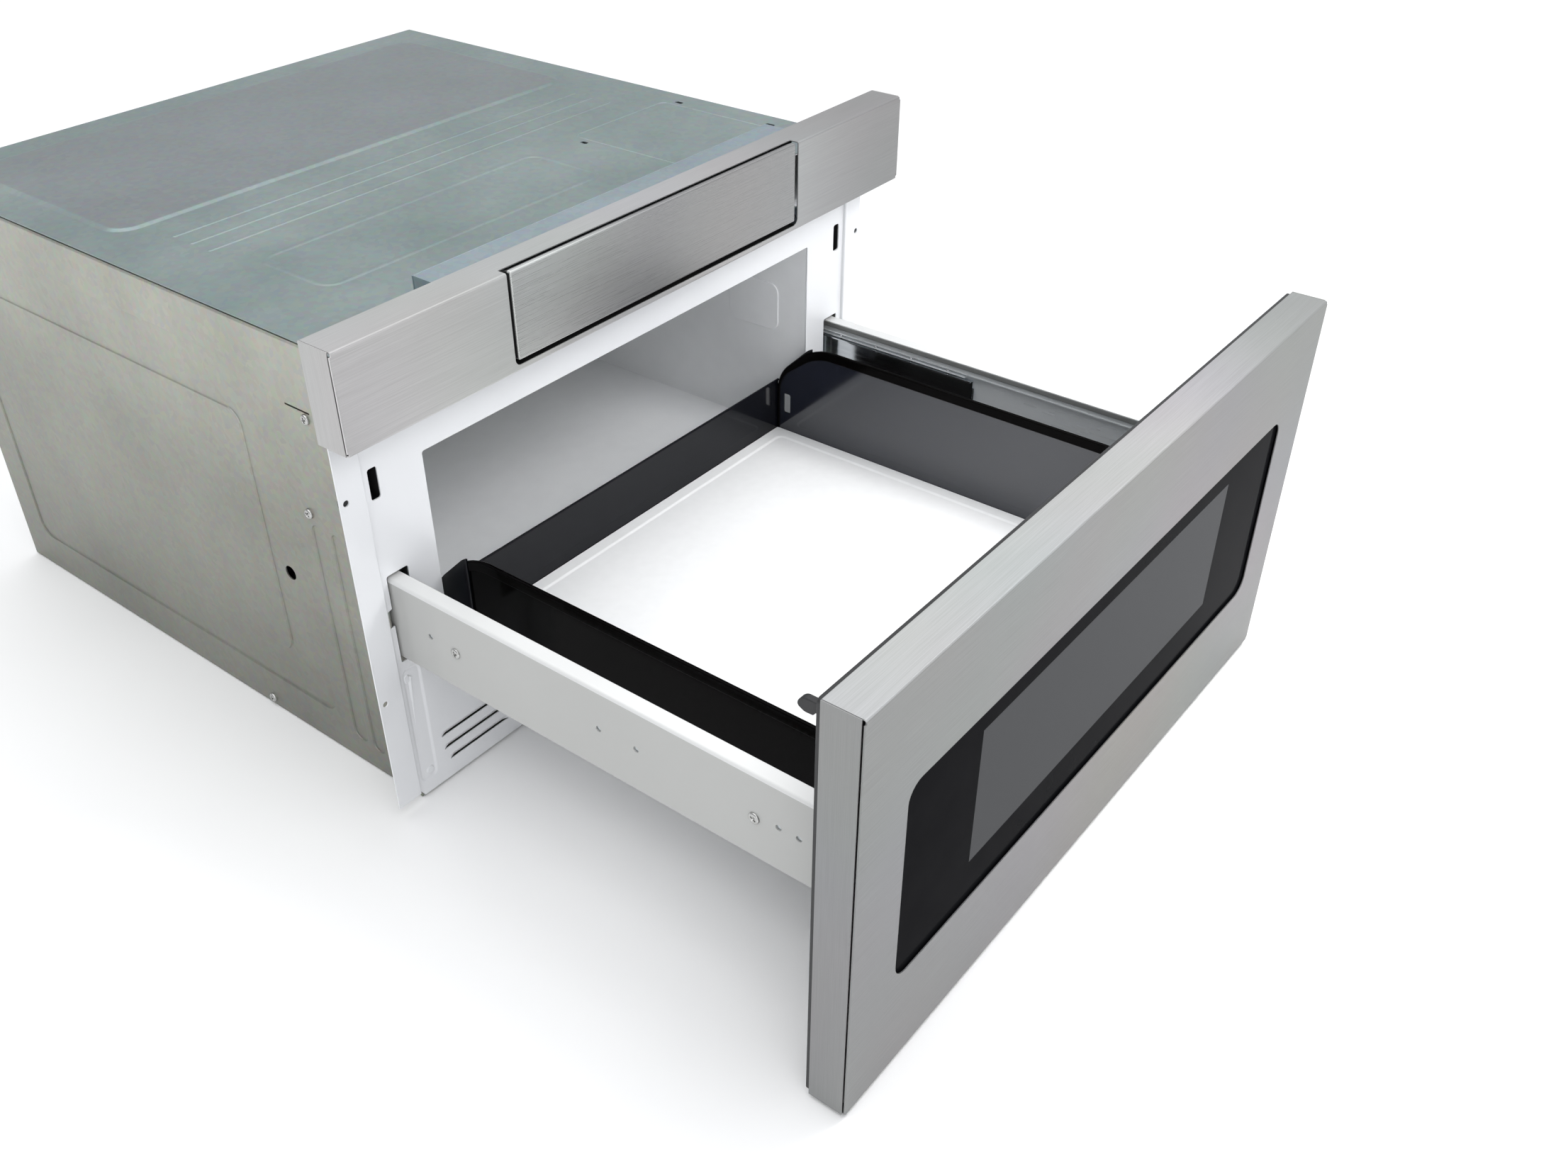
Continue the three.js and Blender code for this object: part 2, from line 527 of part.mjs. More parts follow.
function capacitor() {
  const foot = SHEET + GAP;
  const x = [HALF_CASE - 125, HALF_CASE - 73];
  const y = [490, 526];
  const footY = [y[0] + 8, y[1] - 8];
  const can = prism('z', roundedRect(...x, ...y, 17.5), foot, foot + 92, 3);
  const strap = prism('z', roundedRect(...grown(x, 1.5), ...grown(y, 1.5), 19), foot + 30, foot + 44, 3);
  const tabs = [15, 35].map((along) =>
    block([x[0] + along, x[0] + along + 1], [503, 510], [foot + 91, foot + 102]));
  const bracketFoot = block([x[1] + 1, x[1] + 15], footY, [foot, foot + 2]);
  const bracketLeg = block([x[1] - 1, x[1] + 3], footY, [foot, foot + 34]);
  return join(can, strap, bracketFoot, bracketLeg, ...tabs);
}

// ---------------------------------------------------------------- cooling fan

function fanShroud() {
  const { z, radius } = FAN;
  const x = FAN_X;
  const face = withHoles(roundedRect(x - 64, x + 64, z - 64, z + 64, 6), [disc(x, z, radius)]);
  const back = CASE_REAR - SHEET - GAP;
  const posts = [[-1, -1], [1, -1], [-1, 1], [1, 1]].map(([u, v]) =>
    block([x + u * 30 - 4, x + u * 30 + 4], [back - 52, back - 22], [z + v * 56 - 4, z + v * 56 + 4]));
  const bridge = [-1, 1].map((v) =>
    block([x - 34, x + 34], [back - 54, back - 50], [z + v * 56 - 4, z + v * 56 + 4]));
  return join(prism('y', face, back - 24, back, 5), ...posts, ...bridge);
}

function fanMotor() {
  const { z } = FAN;
  const x = FAN_X;
  const back = CASE_REAR - SHEET - GAP;
  const frame = block([x - 28, x + 28], [back - 50 + GAP, back - 32], [z - 52 + GAP, z + 52 - GAP]);
  const bell = rod('y', x, z, 17, back - 58, back - 26, 6);
  const coil = block([x - 20, x + 20], [back - 58, back - 26], [z + 26, z + 48]);
  return cut(join(frame, bell, coil), rod('y', x, z, 3, back - 56, back - 20, 4));
}

// Pitched blades round a hub. Local origin on the axis, at the middle of the blades.
function fanBlade() {
  const blades = Array.from({ length: FAN.blades }, (_, i) => {
    const blade = new THREE.BoxGeometry(26, 1.4, FAN.tip - 12);
    return solid(blade.translate(0, 0,
      (FAN.tip + 12) / 2).rotateZ(0.5).rotateY((2 * Math.PI * i) / FAN.blades));
  });
  return join(rod('y', 0, 0, 15, -8, 8, 6), rod('y', 0, 0, 2.6, -34, 0, 4), ...blades);
}

// ---------------------------------------------------------------- lamp, latch switches

function ovenLamp() {
  const wall = CAVITY_REAR + SHEET + GAP;
  const [x, z] = [120, CAVITY_CEILING - 38];
  const bulb = new THREE.SphereGeometry(11, 12, 8).translate(x, wall + 22, z);
  return join(block([x - 16, x + 16], [wall, wall + 2], [z - 16, z + 16]),
    rod('y', x, z, 9, wall + 1, wall + 14, 5),
    solid(bulb), rod('y', x, z, 8, wall + 28, wall + 46, 5));
}

function latchSwitch() {
  const inner = LATCH_SLOT.x[0] - 10.5;
  const body = block([inner, HALF_CASE - SHEET - GAP], [CASE_FRONT, 94], [256, 304]);
  const pocket = block([LATCH_SLOT.x[0] - 1, LATCH_SLOT.x[1] + 0.4], [CASE_FRONT - 1, 80],
    [LATCH_SLOT.z[0] - 3, LATCH_SLOT.z[1] + 3]);
  const switches = [262, 284].map((z) => block([inner - 8, inner + 1], [52, 84], [z - 4, z + 12]));
  return join(cut(body, pocket), ...switches);
}

// ---------------------------------------------------------------- telescopic slides

// Middle line of a channel section with rounded corners: web at x = web, flanges reaching to x = edge.
function channelLine(web, edge, halfHeight, corner, bends) {
  const inward = Math.sign(edge - web);
  const bend = (sign) => bends.map((degrees) => {
    const a = (degrees * Math.PI) / 180;
    return [web + inward * corner * (1 - Math.sin(a)), sign * (halfHeight - corner * (1 - Math.cos(a)))];
  });
  const top = [[edge, halfHeight], ...bend(1)];
  const bottom = top.map(([x, z]) => [x, -z]).reverse();
  return [...top, ...bottom].map(([x, z]) => [x, SLIDE_LEVEL + z]);
}

const SLIDE_HALF = 22.5;
const HALF_OUTER = SLIDE_HALF - SLIDE_SHEET / 2;
const HALF_MIDDLE = HALF_OUTER - SLIDE_SHEET - SLIDE_RACE;
const HALF_INNER = HALF_MIDDLE - SLIDE_SHEET - SLIDE_RACE;
const OUTER_WEB = WEB_INSIDE - GAP - SLIDE_SHEET / 2;
const MIDDLE_WEB = OUTER_WEB - SLIDE_SHEET - 1.5;
const INNER_WEB = MIDDLE_WEB - 7.6;
const INNER_EDGE = MIDDLE_WEB - 2.2;
const FIXED = [45, CHANNEL_REAR + 15];
const MIDDLE = [74, CHANNEL_REAR + 15];

const slideMember = (web, edge, half, corner, from, to) =>
  prism('y', strip(channelLine(web, edge, half, corner, [22.5, 67.5]), SLIDE_SHEET), from, to);

const DRAWER_MEMBER_START = 35;
const drawerMember = () => slideMember(OUTER_WEB, OUTER_WEB - 8.5, HALF_OUTER, 2.5, DRAWER_MEMBER_START,
  CHANNEL_REAR);
const middleMember = () => slideMember(MIDDLE_WEB, MIDDLE_WEB - 6.3, HALF_MIDDLE, 2, ...MIDDLE);
const fixedMember = () => slideMember(INNER_WEB, INNER_EDGE, HALF_INNER, 1.5, ...FIXED);

// Pressed cage with a row of balls above and below. The two members that it runs between overlap by
// shared when the drawer is out.
function ballCage(web, ballX, raceHalf, centre, shared, endGap) {
  const cageSheet = 0.7;
  const corner = 1.2;
  const section = strip(channelLine(web, ballX - 2.6, raceHalf, corner, [45]), cageSheet);
  const [from, to] = grown([centre, centre], shared / 2 - endGap);
  const pitch = (to - from) / BALLS_PER_ROW;
  const balls = Array.from({ length: BALLS_PER_ROW }, (_, i) => from + pitch * (i + 0.5)).flatMap((y) =>
    [1, -1].map((side) => solid(new THREE.SphereGeometry(BALL_RADIUS, 6, 3)
      .translate(ballX, y, SLIDE_LEVEL + side * raceHalf))));
  return join(prism('y', section, from, to), ...balls);
}

const OUTER_RACE = HALF_OUTER - (SLIDE_SHEET + SLIDE_RACE) / 2;
const INNER_RACE = HALF_MIDDLE - (SLIDE_SHEET + SLIDE_RACE) / 2;
const OUTER_SHARED = CHANNEL_REAR - MIDDLE[0] - DRAWER_TRAVEL / 2;
const INNER_SHARED = MIDDLE[1] - FIXED[0] - DRAWER_TRAVEL / 2;
const outerCage = () => ballCage((OUTER_WEB + MIDDLE_WEB) / 2, OUTER_WEB - 5.4, OUTER_RACE,
  (MIDDLE[0] + CHANNEL_REAR) / 2, OUTER_SHARED, 7);
const innerCage = () => ballCage(MIDDLE_WEB - 1.4, MIDDLE_WEB - 4, INNER_RACE,
  (FIXED[0] + MIDDLE[1]) / 2, INNER_SHARED, 24);

const BRACKET_FACE = [INNER_WEB - SLIDE_SHEET / 2 - GAP - PLATE, INNER_WEB - SLIDE_SHEET / 2 - GAP];

// Upright plate on the base pan that the fixed member is screwed to.
function slideBracket(cutShaft) {
  const face = BRACKET_FACE;
  const foot = SHEET + GAP;
  const [front, rear, top] = [40, FIXED[1] + 15, CHANNEL_TOP + 2];
  const plate = outline([[front, foot], [rear, foot], [rear, 150], [rear - 30, top], [front + 20, top],
    [front, 190]]);
  plate.holes = [130, 235, 340].map((y) => roundedRect(y, y + 85, 30, 120, 12));
  const body = join(prism('x', plate, ...face),
    block([face[0] - 14, face[1]], [front + 4, rear - 4], [foot, foot + PLATE]));
  return cutShaft ? cut(body,
    rod('x', PINION_SETBACK, PINION_LEVEL, 7, face[0] - 1, face[1] + 1, 4)) : body;
}

// ---------------------------------------------------------------- drawer drive, on the left

const GEAR_X = [-WEB_INSIDE + 1, -WEB_INSIDE + 1 + GEAR_FACE];
const SHAFT_RADIUS = 4;

function gearOutline(teeth, module) {
  const pitch = (teeth * module) / 2;
  const base = pitch * Math.cos(Math.PI / 9);
  const [root, tip] = [pitch - 1.25 * module, pitch + 0.9 * module];
  const involute = (radius) => {
    const a = Math.acos(Math.min(1, base / radius));
    return Math.tan(a) - a;
  };
  const atPitch = Math.PI / (2 * teeth) - BACKLASH / (2 * pitch) + involute(pitch);
  const halfAngle = (radius) => atPitch - involute(Math.max(radius, base));
  const radii = [root, base, (base + pitch) / 2, pitch, (pitch + tip) / 2, tip];
  const points = [];
  for (let i = 0; i < teeth; i += 1) {
    const middle = Math.PI / 2 + (2 * Math.PI * i) / teeth;
    const flank = (side) => radii.map((r) => [r, middle + side * halfAngle(r)]);
    points.push(...flank(-1), ...flank(1).reverse());
  }
  return outline(points.map(([r, a]) => [r * Math.cos(a), r * Math.sin(a)]));
}

// Local origin on the pinion's axis.
function drivePinion() {
  return join(prism('x', gearOutline(PINION_TEETH, GEAR_MODULE), ...GEAR_X),
    rod('x', 0, 0, SHAFT_RADIUS, GEAR_X[1] - 1, -BRACKET_FACE[0] + 11.2, 5));
}

function driveRack() {
  const pitch = Math.PI * GEAR_MODULE;
  const meshY = PINION_SETBACK + DRAWER_TRAVEL;
  const tip = PITCH_LEVEL - 0.85 * GEAR_MODULE;
  const root = PITCH_LEVEL + 1.15 * GEAR_MODULE;
  const top = SLIDE_LEVEL - SLIDE_HALF - GAP;
  const slope = Math.tan(Math.PI / 9);
  const half = (level) => pitch / 4 - BACKLASH / 2 + (level - PITCH_LEVEL) * slope;
  const front = DRAWER_MEMBER_START + 1;
  const first = Math.ceil((front + 2 - meshY) / pitch);
  const last = Math.floor((CHANNEL_REAR - 4 - meshY) / pitch) - 1;
  const points = [[front, top], [front, root]];
  for (let i = first; i <= last; i += 1) {
    const y = meshY + (i + 0.5) * pitch;
    points.push([y - half(root), root], [y - half(tip), tip], [y + half(tip), tip], [y + half(root), root]);
  }
  points.push([CHANNEL_REAR - 1, root], [CHANNEL_REAR - 1, top]);
  const x = [-WEB_INSIDE + GAP, -WEB_INSIDE + GAP + 8];
  return prism('x', outline(points), ...x);
}

function driveMotor() {
  const inside = -(BRACKET_FACE[0] - GAP);
  const box = [inside, inside + 22.9];
  const [y, z] = [PINION_SETBACK, PINION_LEVEL];
  const gearbox = prism('x', roundedRect(y - 18, y + 40, z - 26, z + 27, 5), ...box, 3);
  const can = rod('y', inside + 11.5, z - 10, 11.4, y + 38, y + 102, 6);
  const bore = rod('x', y, z, SHAFT_RADIUS + GAP, box[0] - 1, box[0] + 13.9, 5);
  return cut(join(gearbox, can), bore);
}

// ---------------------------------------------------------------- drawer

function doorSkin() {
  const outside = block([-HALF_FRONT, HALF_FRONT], [0, DOOR_DEPTH], [DOOR_CLEARANCE, DOOR_TOP]);
  const inside = block([-HALF_FRONT + SKIN, HALF_FRONT - SKIN], [SKIN, DOOR_DEPTH + 1],
    [DOOR_CLEARANCE + SKIN, DOOR_TOP - SKIN]);
  return cut(outside, inside,
    prism('y', roundedRect(...WINDOW.x, ...WINDOW.z, WINDOW_CORNER), -1, SKIN + 1, 5));
}

const WINDOW = {
  x: [-HALF_FRONT + WINDOW_SIDE, HALF_FRONT - WINDOW_SIDE],
  z: [DOOR_CLEARANCE + WINDOW_BOTTOM, DOOR_TOP - WINDOW_TOP],
};

function doorGlass() {
  return block(grown(WINDOW.x, GLASS_OVERLAP), [SKIN + GAP, SKIN + GAP + GLASS],
    grown(WINDOW.z, GLASS_OVERLAP));
}

const FRAME_FRONT = SKIN + 2 * GAP + GLASS + 1;
const VIEW = {
  x: grown(WINDOW.x, -83.7),
  z: [WINDOW.z[0] + 32.3, WINDOW.z[1] - 17.4],
};

function doorFrame() {
  const x = grown([-HALF_FRONT, HALF_FRONT], -SKIN - GAP);
  const z = grown([DOOR_CLEARANCE, DOOR_TOP], -SKIN - GAP);
  const back = DOOR_DEPTH;
  const pan = cut(block(x, [FRAME_FRONT, back], z),
    block(grown(x, -PLATE), [FRAME_FRONT - 1, back - PLATE], grown(z, -PLATE)));
  return cut(pan, prism('y', roundedRect(...VIEW.x, ...VIEW.z, 10), back - PLATE - 1, back + 1, 3));
}

function doorScreen() {
  const back = DOOR_DEPTH - PLATE - GAP;
  return block(grown(VIEW.x, 10), [back - 0.8, back], grown(VIEW.z, 10));
}

function chokeCover() {
  const x = grown([-HALF_FRONT, HALF_FRONT], -1);
  const z = grown([DOOR_CLEARANCE, DOOR_TOP], -1);
  const mouthX = [-CAVITY_HALF - 1.5, CAVITY_HALF + 1.5];
  const mouthZ = [CAVITY_FLOOR - 3, CAVITY_CEILING + 4];
  const face = withHoles(roundedRect(...x, ...z, 3), [roundedRect(...mouthX, ...mouthZ, 4)]);
  const groove = ring(...grown(mouthX, 16.5), mouthZ[0] - 16, mouthZ[1] + 11, 8, 4);
  return cut(prism('y', face, DOOR_DEPTH + GAP, DOOR_BACK, 2),
    prism('y', groove, DOOR_BACK - 1.5, DOOR_BACK + 1, 2));
}

function latchHook() {
  const centre = (LATCH_SLOT.x[0] + LATCH_SLOT.x[1]) / 2;
  const x = grown([centre, centre], 2.5);
  const foot = DOOR_BACK + GAP;
  const { z } = LATCH_SLOT;
  const hook = outline([[foot, z[0] + 6], [56, z[0] + 6], [56, z[0] + 1.5], [62, z[0] + 1], [69, z[0] + 8],
    [69, z[1] - 4], [65, z[1] - 1.5], [foot, z[1] - 1.5]]);
  return join(prism('x', hook, ...x),
    block([x[0] - 5, x[1] + 1.5], [foot, foot + 2.4], [z[0] - 6, z[1] + 3]));
}

function drawerChannel() {
  const web = WEB_INSIDE + PLATE / 2;
  const foot = DOOR_BACK + GAP;
  const section = strip([[CHANNEL_FACE - CHANNEL_WIDTH, CHANNEL_TOP - PLATE / 2],
    [web, CHANNEL_TOP - PLATE / 2],
    [web, CHANNEL_BOTTOM]], PLATE);
  const frontFlange = block([CHANNEL_FACE - 30, CHANNEL_FACE], [foot, foot + PLATE],
    [CHANNEL_BOTTOM + 4, CHANNEL_TOP - 3]);
  const holes = [382, 224, 192, 80, 65].map((y) =>
    rod('x', y, SLIDE_LEVEL, 2.2, WEB_INSIDE - 1, CHANNEL_FACE + 1, 3));
  return cut(join(prism('y', section, foot, CHANNEL_REAR), frontFlange), ...holes);
}

function traySide() {
  const inner = TRAY_HALF - TRAY_SHEET;
  const front = TRAY_FRONT;
  const wall = outline([[front, TRAY_BOTTOM], [TRAY_REAR, TRAY_BOTTOM],
    [TRAY_REAR, TRAY_TOP - TRAY_CHAMFER],
    [TRAY_REAR - TRAY_CHAMFER, TRAY_TOP], [front, TRAY_TOP]]);
  wall.holes = [roundedRect(TRAY_REAR - 14, TRAY_REAR - 7, TRAY_BOTTOM + 23.5, TRAY_BOTTOM + 42.5, 1.5)];
  const hem = block([inner - 1, TRAY_HALF + 1], [front, TRAY_REAR - TRAY_CHAMFER - 1],
    [TRAY_TOP - 2.4, TRAY_TOP]);
  const shelf = block([TRAY_HALF - 14, TRAY_HALF], [front, TRAY_REAR],
    [TRAY_BOTTOM, TRAY_BOTTOM + TRAY_SHEET]);
  const flange = block([inner, CAVITY_HALF - 2], [front, front + TRAY_SHEET],
    [TRAY_BOTTOM + 6, TRAY_TOP - 6]);
  return join(prism('x', wall, inner, TRAY_HALF, 2), hem, shelf, flange);
}

function trayBack() {
  const face = [TRAY_REAR + GAP, TRAY_REAR + GAP + TRAY_SHEET];
  const tabX = [TRAY_HALF + GAP, TRAY_HALF + GAP + TRAY_SHEET];
  const wall = block([-tabX[1], tabX[1]], face, [TRAY_BOTTOM, TRAY_BACK_TOP]);
  const hem = block([-TRAY_HALF + 4, TRAY_HALF - 4], [face[0] - 0.1, face[1] + 1],
    [TRAY_BACK_TOP - 2, TRAY_BACK_TOP]);
  const shelf = block([-TRAY_HALF + 14 + GAP, TRAY_HALF - 14 - GAP], [face[1] - 14, face[1]],
    [TRAY_BOTTOM, TRAY_BOTTOM + TRAY_SHEET]);
  const low = TRAY_BOTTOM + 45;
  const tab = prism('x', outline([[TRAY_REAR - TRAY_CHAMFER, low], [face[1], low],
    [face[1], TRAY_TOP - TRAY_CHAMFER - 2],
    [TRAY_REAR - TRAY_CHAMFER + 3, TRAY_TOP - 4], [TRAY_REAR - TRAY_CHAMFER, TRAY_TOP - 4]]), ...tabX);
  return join(wall, hem, shelf, tab, mirrored(tab));
}

function trayFloor() {
  const low = TRAY_BOTTOM + TRAY_SHEET + GAP;
  const half = TRAY_HALF - TRAY_SHEET - GAP;
  const depth = [TRAY_FRONT + GAP, TRAY_REAR];
  const slab = block([-half, half], depth, [low, low + FLOOR_THICKNESS]);
  const well = prism('z', roundedRect(-half + 10, half - 10, depth[0] + 10, depth[1] - 10, 8),
    low + FLOOR_THICKNESS - 1, low + FLOOR_THICKNESS + 1, 3);
  return cut(slab, well);
}

// ---------------------------------------------------------------- control panel
// Local origin on the hinge axis.

const PANEL_HALF = PANEL_OPENING / 2 - PANEL_SIDE_GAP;
const PANEL_FOOT = -(PANEL_OPENING_DROP - PANEL_BOTTOM_GAP - HINGE_DROP);

function panelFace() {
  const front = -HINGE_SETBACK;
  const sheet = block([-PANEL_HALF, PANEL_HALF], [front, front + SKIN], [PANEL_FOOT, HINGE_DROP]);
  const topReturn = block([-PANEL_HALF, PANEL_HALF], [front, front + 6], [HINGE_DROP - SKIN, HINGE_DROP]);
  const sideReturn = (side) => block([side * (PANEL_HALF - SKIN), side * PANEL_HALF], [front, front + 6],
    [6, HINGE_DROP]);
  return join(sheet, topReturn, sideReturn(1), sideReturn(-1));
}

const WEDGE_HALF = PANEL_HALF - SKIN - GAP;
const SLOPE = { from: [1.5, HINGE_DROP - SKIN - GAP], to: [43, 39.5] };
const SLOPE_ANGLE = Math.atan2(SLOPE.to[1] - SLOPE.from[1], SLOPE.to[0] - SLOPE.from[0]);

// A slab lying on the wedge's slope: from and to are distances down the slope, depth is below its surface.
function onSlope(half, from, to, depth, proud) {
  const slab = new THREE.BoxGeometry(2 * half, to - from, depth + proud);
  return solid(slab.translate(0, (from + to) / 2, (proud - depth) / 2).rotateX(SLOPE_ANGLE)
    .translate(0, ...SLOPE.from));
}

function panelCarrier() {
  const front = -HINGE_SETBACK + SKIN + GAP;
  const wedge = outline([[front, PANEL_FOOT + 1], [7, PANEL_FOOT + 1], [SLOPE.to[0], 35], SLOPE.to,
    SLOPE.from,
    [front, SLOPE.from[1]]]);
  const pins = [-1, 1].map((side) =>
    rod('x', 0, 0, PIN_RADIUS, side * (WEDGE_HALF - 1), side * (EAR_INSIDE + 1.8), 5));
  return cut(join(prism('x', wedge, -WEDGE_HALF, WEDGE_HALF), ...pins),
    onSlope(WEDGE_HALF - 4, 3, 43.5, 2.2, 3));
}

const touchGlass = () => onSlope(WEDGE_HALF - 4 - GAP, 3 + GAP, 43.5 - GAP, 2.2 - GAP, 0.3);

// ---------------------------------------------------------------- assembly

const product = new THREE.Group();
const place = (x, y, z) => {
  const group = new THREE.Group();
  group.position.set(x, y, z);
  product.add(group);
  return group;
};

const chassis = place(0, FRONT_Y, 0);
add(chassis, 'front_band', frontBand(), FINISH.stainless);
add(chassis, 'panel_housing', panelHousing(), FINISH.galvanised);
add(chassis, 'housing_back', housingBack(), FINISH.galvanised);
add(chassis, 'panel_motor', panelMotor(), FINISH.black);
add(chassis, 'control_board', controlBoard(), FINISH.board);
add(chassis, 'front_plate', frontPlate(), FINISH.white);
addPair(chassis, 'side_panel', sidePanel(), FINISH.galvanised);
add(chassis, 'top_cover', topCover(), FINISH.galvanised);
add(chassis, 'base_pan', basePan(), FINISH.galvanised);
add(chassis, 'rear_panel', rearPanel(), FINISH.galvanised);
add(chassis, 'cord_grommet', cordGrommet(), FINISH.black);
add(chassis, 'cavity_liner', cavityLiner(), FINISH.white);
add(chassis, 'stirrer_cover', stirrerCover(), FINISH.nylon);
add(chassis, 'waveguide', waveguide(), FINISH.galvanised);
add(chassis, 'stirrer_motor', stirrerMotor(), FINISH.nylon);
add(chassis, 'magnetron', magnetron(), FINISH.aluminium);
add(chassis, 'transformer_core', transformerCore(), FINISH.core);
add(chassis, 'transformer_coil', transformerCoil(), FINISH.copper);
add(chassis, 'capacitor', capacitor(), FINISH.aluminium);
add(chassis, 'fan_shroud', fanShroud(), FINISH.black);
add(chassis, 'fan_motor', fanMotor(), FINISH.core);
add(chassis, 'oven_lamp', ovenLamp(), FINISH.bulb);
addPair(chassis, 'latch_switch', latchSwitch(), FINISH.nylon);
add(chassis, 'slide_bracket_right', slideBracket(false), FINISH.galvanised);
add(chassis, 'slide_bracket_left', mirrored(slideBracket(true)), FINISH.galvanised);
addPair(chassis, 'slide_fixed', fixedMember(), FINISH.zinc);
add(chassis, 'drive_motor', driveMotor(), FINISH.black);

add(place(FAN_X, FRONT_Y + FAN_Y, FAN.z), 'fan_blade', fanBlade(), FINISH.black);
add(place(0, FRONT_Y + STIRRER.y, LINER_TOP + 17), 'stirrer', stirrer(), FINISH.aluminium);
add(place(0, FRONT_Y + PINION_SETBACK, PINION_LEVEL), 'drive_pinion', drivePinion(), FINISH.nylon);

addPair(place(0, FRONT_Y - DRAWER_TRAVEL / 4, 0), 'inner_ball_cage', innerCage(), FINISH.zinc);
addPair(place(0, FRONT_Y - DRAWER_TRAVEL / 2, 0), 'slide_middle', middleMember(), FINISH.zinc);
addPair(place(0, FRONT_Y - DRAWER_TRAVEL * 0.75, 0), 'outer_ball_cage', outerCage(), FINISH.zinc);

const drawer = place(0, FRONT_Y - DRAWER_TRAVEL, 0);
add(drawer, 'door_skin', doorSkin(), FINISH.stainless);
add(drawer, 'door_glass', doorGlass(), FINISH.glass);
add(drawer, 'door_frame', doorFrame(), FINISH.white);
add(drawer, 'door_screen', doorScreen(), FINISH.enamel);
add(drawer, 'choke_cover', chokeCover(), FINISH.black);
addPair(drawer, 'latch_hook', latchHook(), FINISH.black);
addPair(drawer, 'drawer_channel', drawerChannel(), FINISH.grey);
addPair(drawer, 'slide_drawer', drawerMember(), FINISH.zinc);
add(drawer, 'drive_rack', driveRack(), FINISH.nylon);
addPair(drawer, 'tray_side', traySide(), FINISH.enamel);
add(drawer, 'tray_back', trayBack(), FINISH.enamel);
add(drawer, 'tray_floor', trayFloor(), FINISH.ceramic);

const panel = place(0, FRONT_Y + HINGE_SETBACK, HINGE_LEVEL);
add(panel, 'panel_face', panelFace(), FINISH.stainless);
add(panel, 'panel_carrier', panelCarrier(), FINISH.black);
add(panel, 'touch_glass', touchGlass(), FINISH.glass);

export default product;
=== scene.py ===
import math

import bmesh
import bpy
from mathutils import Matrix, Vector


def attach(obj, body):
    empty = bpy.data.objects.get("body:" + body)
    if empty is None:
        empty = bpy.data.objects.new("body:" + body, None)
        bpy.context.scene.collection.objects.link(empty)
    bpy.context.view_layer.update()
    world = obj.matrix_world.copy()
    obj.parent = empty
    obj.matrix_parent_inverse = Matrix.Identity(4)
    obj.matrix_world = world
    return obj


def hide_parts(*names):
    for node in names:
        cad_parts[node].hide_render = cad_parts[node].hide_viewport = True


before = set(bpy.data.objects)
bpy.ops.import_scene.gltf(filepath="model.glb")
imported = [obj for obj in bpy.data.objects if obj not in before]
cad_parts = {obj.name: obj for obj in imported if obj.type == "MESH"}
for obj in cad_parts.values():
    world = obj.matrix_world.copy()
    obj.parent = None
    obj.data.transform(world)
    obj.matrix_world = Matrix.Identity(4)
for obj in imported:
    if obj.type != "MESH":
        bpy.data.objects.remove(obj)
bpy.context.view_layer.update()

# ---------------- camera
# The viewpoint is above and to the left of the drawn-out door, with the top of the case,
# the inside of the tray and the door's front all in view.

lens = bpy.data.cameras.new("camera")
lens.sensor_width = 36
lens.lens = 33.632
lens.shift_x, lens.shift_y = 0.0312, 0.0096
lens.clip_end = 60
camera = bpy.data.objects.new("camera", lens)
camera_right = (0.62332, -0.78188, -0.01137)
camera_up = (0.46608, 0.35981, 0.80827)
camera_back = (-0.62788, -0.50911, 0.58870)
camera_turn = Matrix((camera_right, camera_up, camera_back)).transposed().to_4x4()
camera.matrix_world = Matrix.Translation((-0.7601, -0.9861, 0.7837)) @ camera_turn
bpy.context.scene.collection.objects.link(camera)
bpy.context.scene.camera = camera

# ---------------- studio
# A wide pale floor under a large overhead softbox and a softer one in front, in a light room, so that
# the steel and the enamel have something even to reflect. A pale backdrop closes the view.

bpy.context.scene.view_settings.view_transform = "Standard"

room = bpy.data.worlds.new("studio")
room.use_nodes = True
room.node_tree.nodes["Background"].inputs["Color"].default_value = (0.95, 0.97, 1.0, 1)
room.node_tree.nodes["Background"].inputs["Strength"].default_value = 0.6
bpy.context.scene.world = room


def softbox(name, size, power, place, target):
    """A square area lamp that faces a point. Only a large one shows in what it lights."""
    lamp = bpy.data.lights.new(name, "AREA")
    lamp.size, lamp.energy = size, power
    holder = bpy.data.objects.new(name, lamp)
    holder.visible_camera = False
    holder.visible_glossy = size > 1
    holder.location = place
    holder.rotation_euler = (Vector(target) - Vector(place)).to_track_quat("-Z", "Y").to_euler()
    bpy.context.scene.collection.objects.link(holder)


softbox("overhead", 5, 106, (0.1, -0.1, 3.2), (0, -0.2, 0))
softbox("front_left", 2.4, 18, (-1.9, -2.2, 1.5), (0, -0.3, 0.2))
softbox("into_the_case", 0.3, 3.6, (0.3, -0.85, 0.75), (-0.02, -0.1, 0.1))


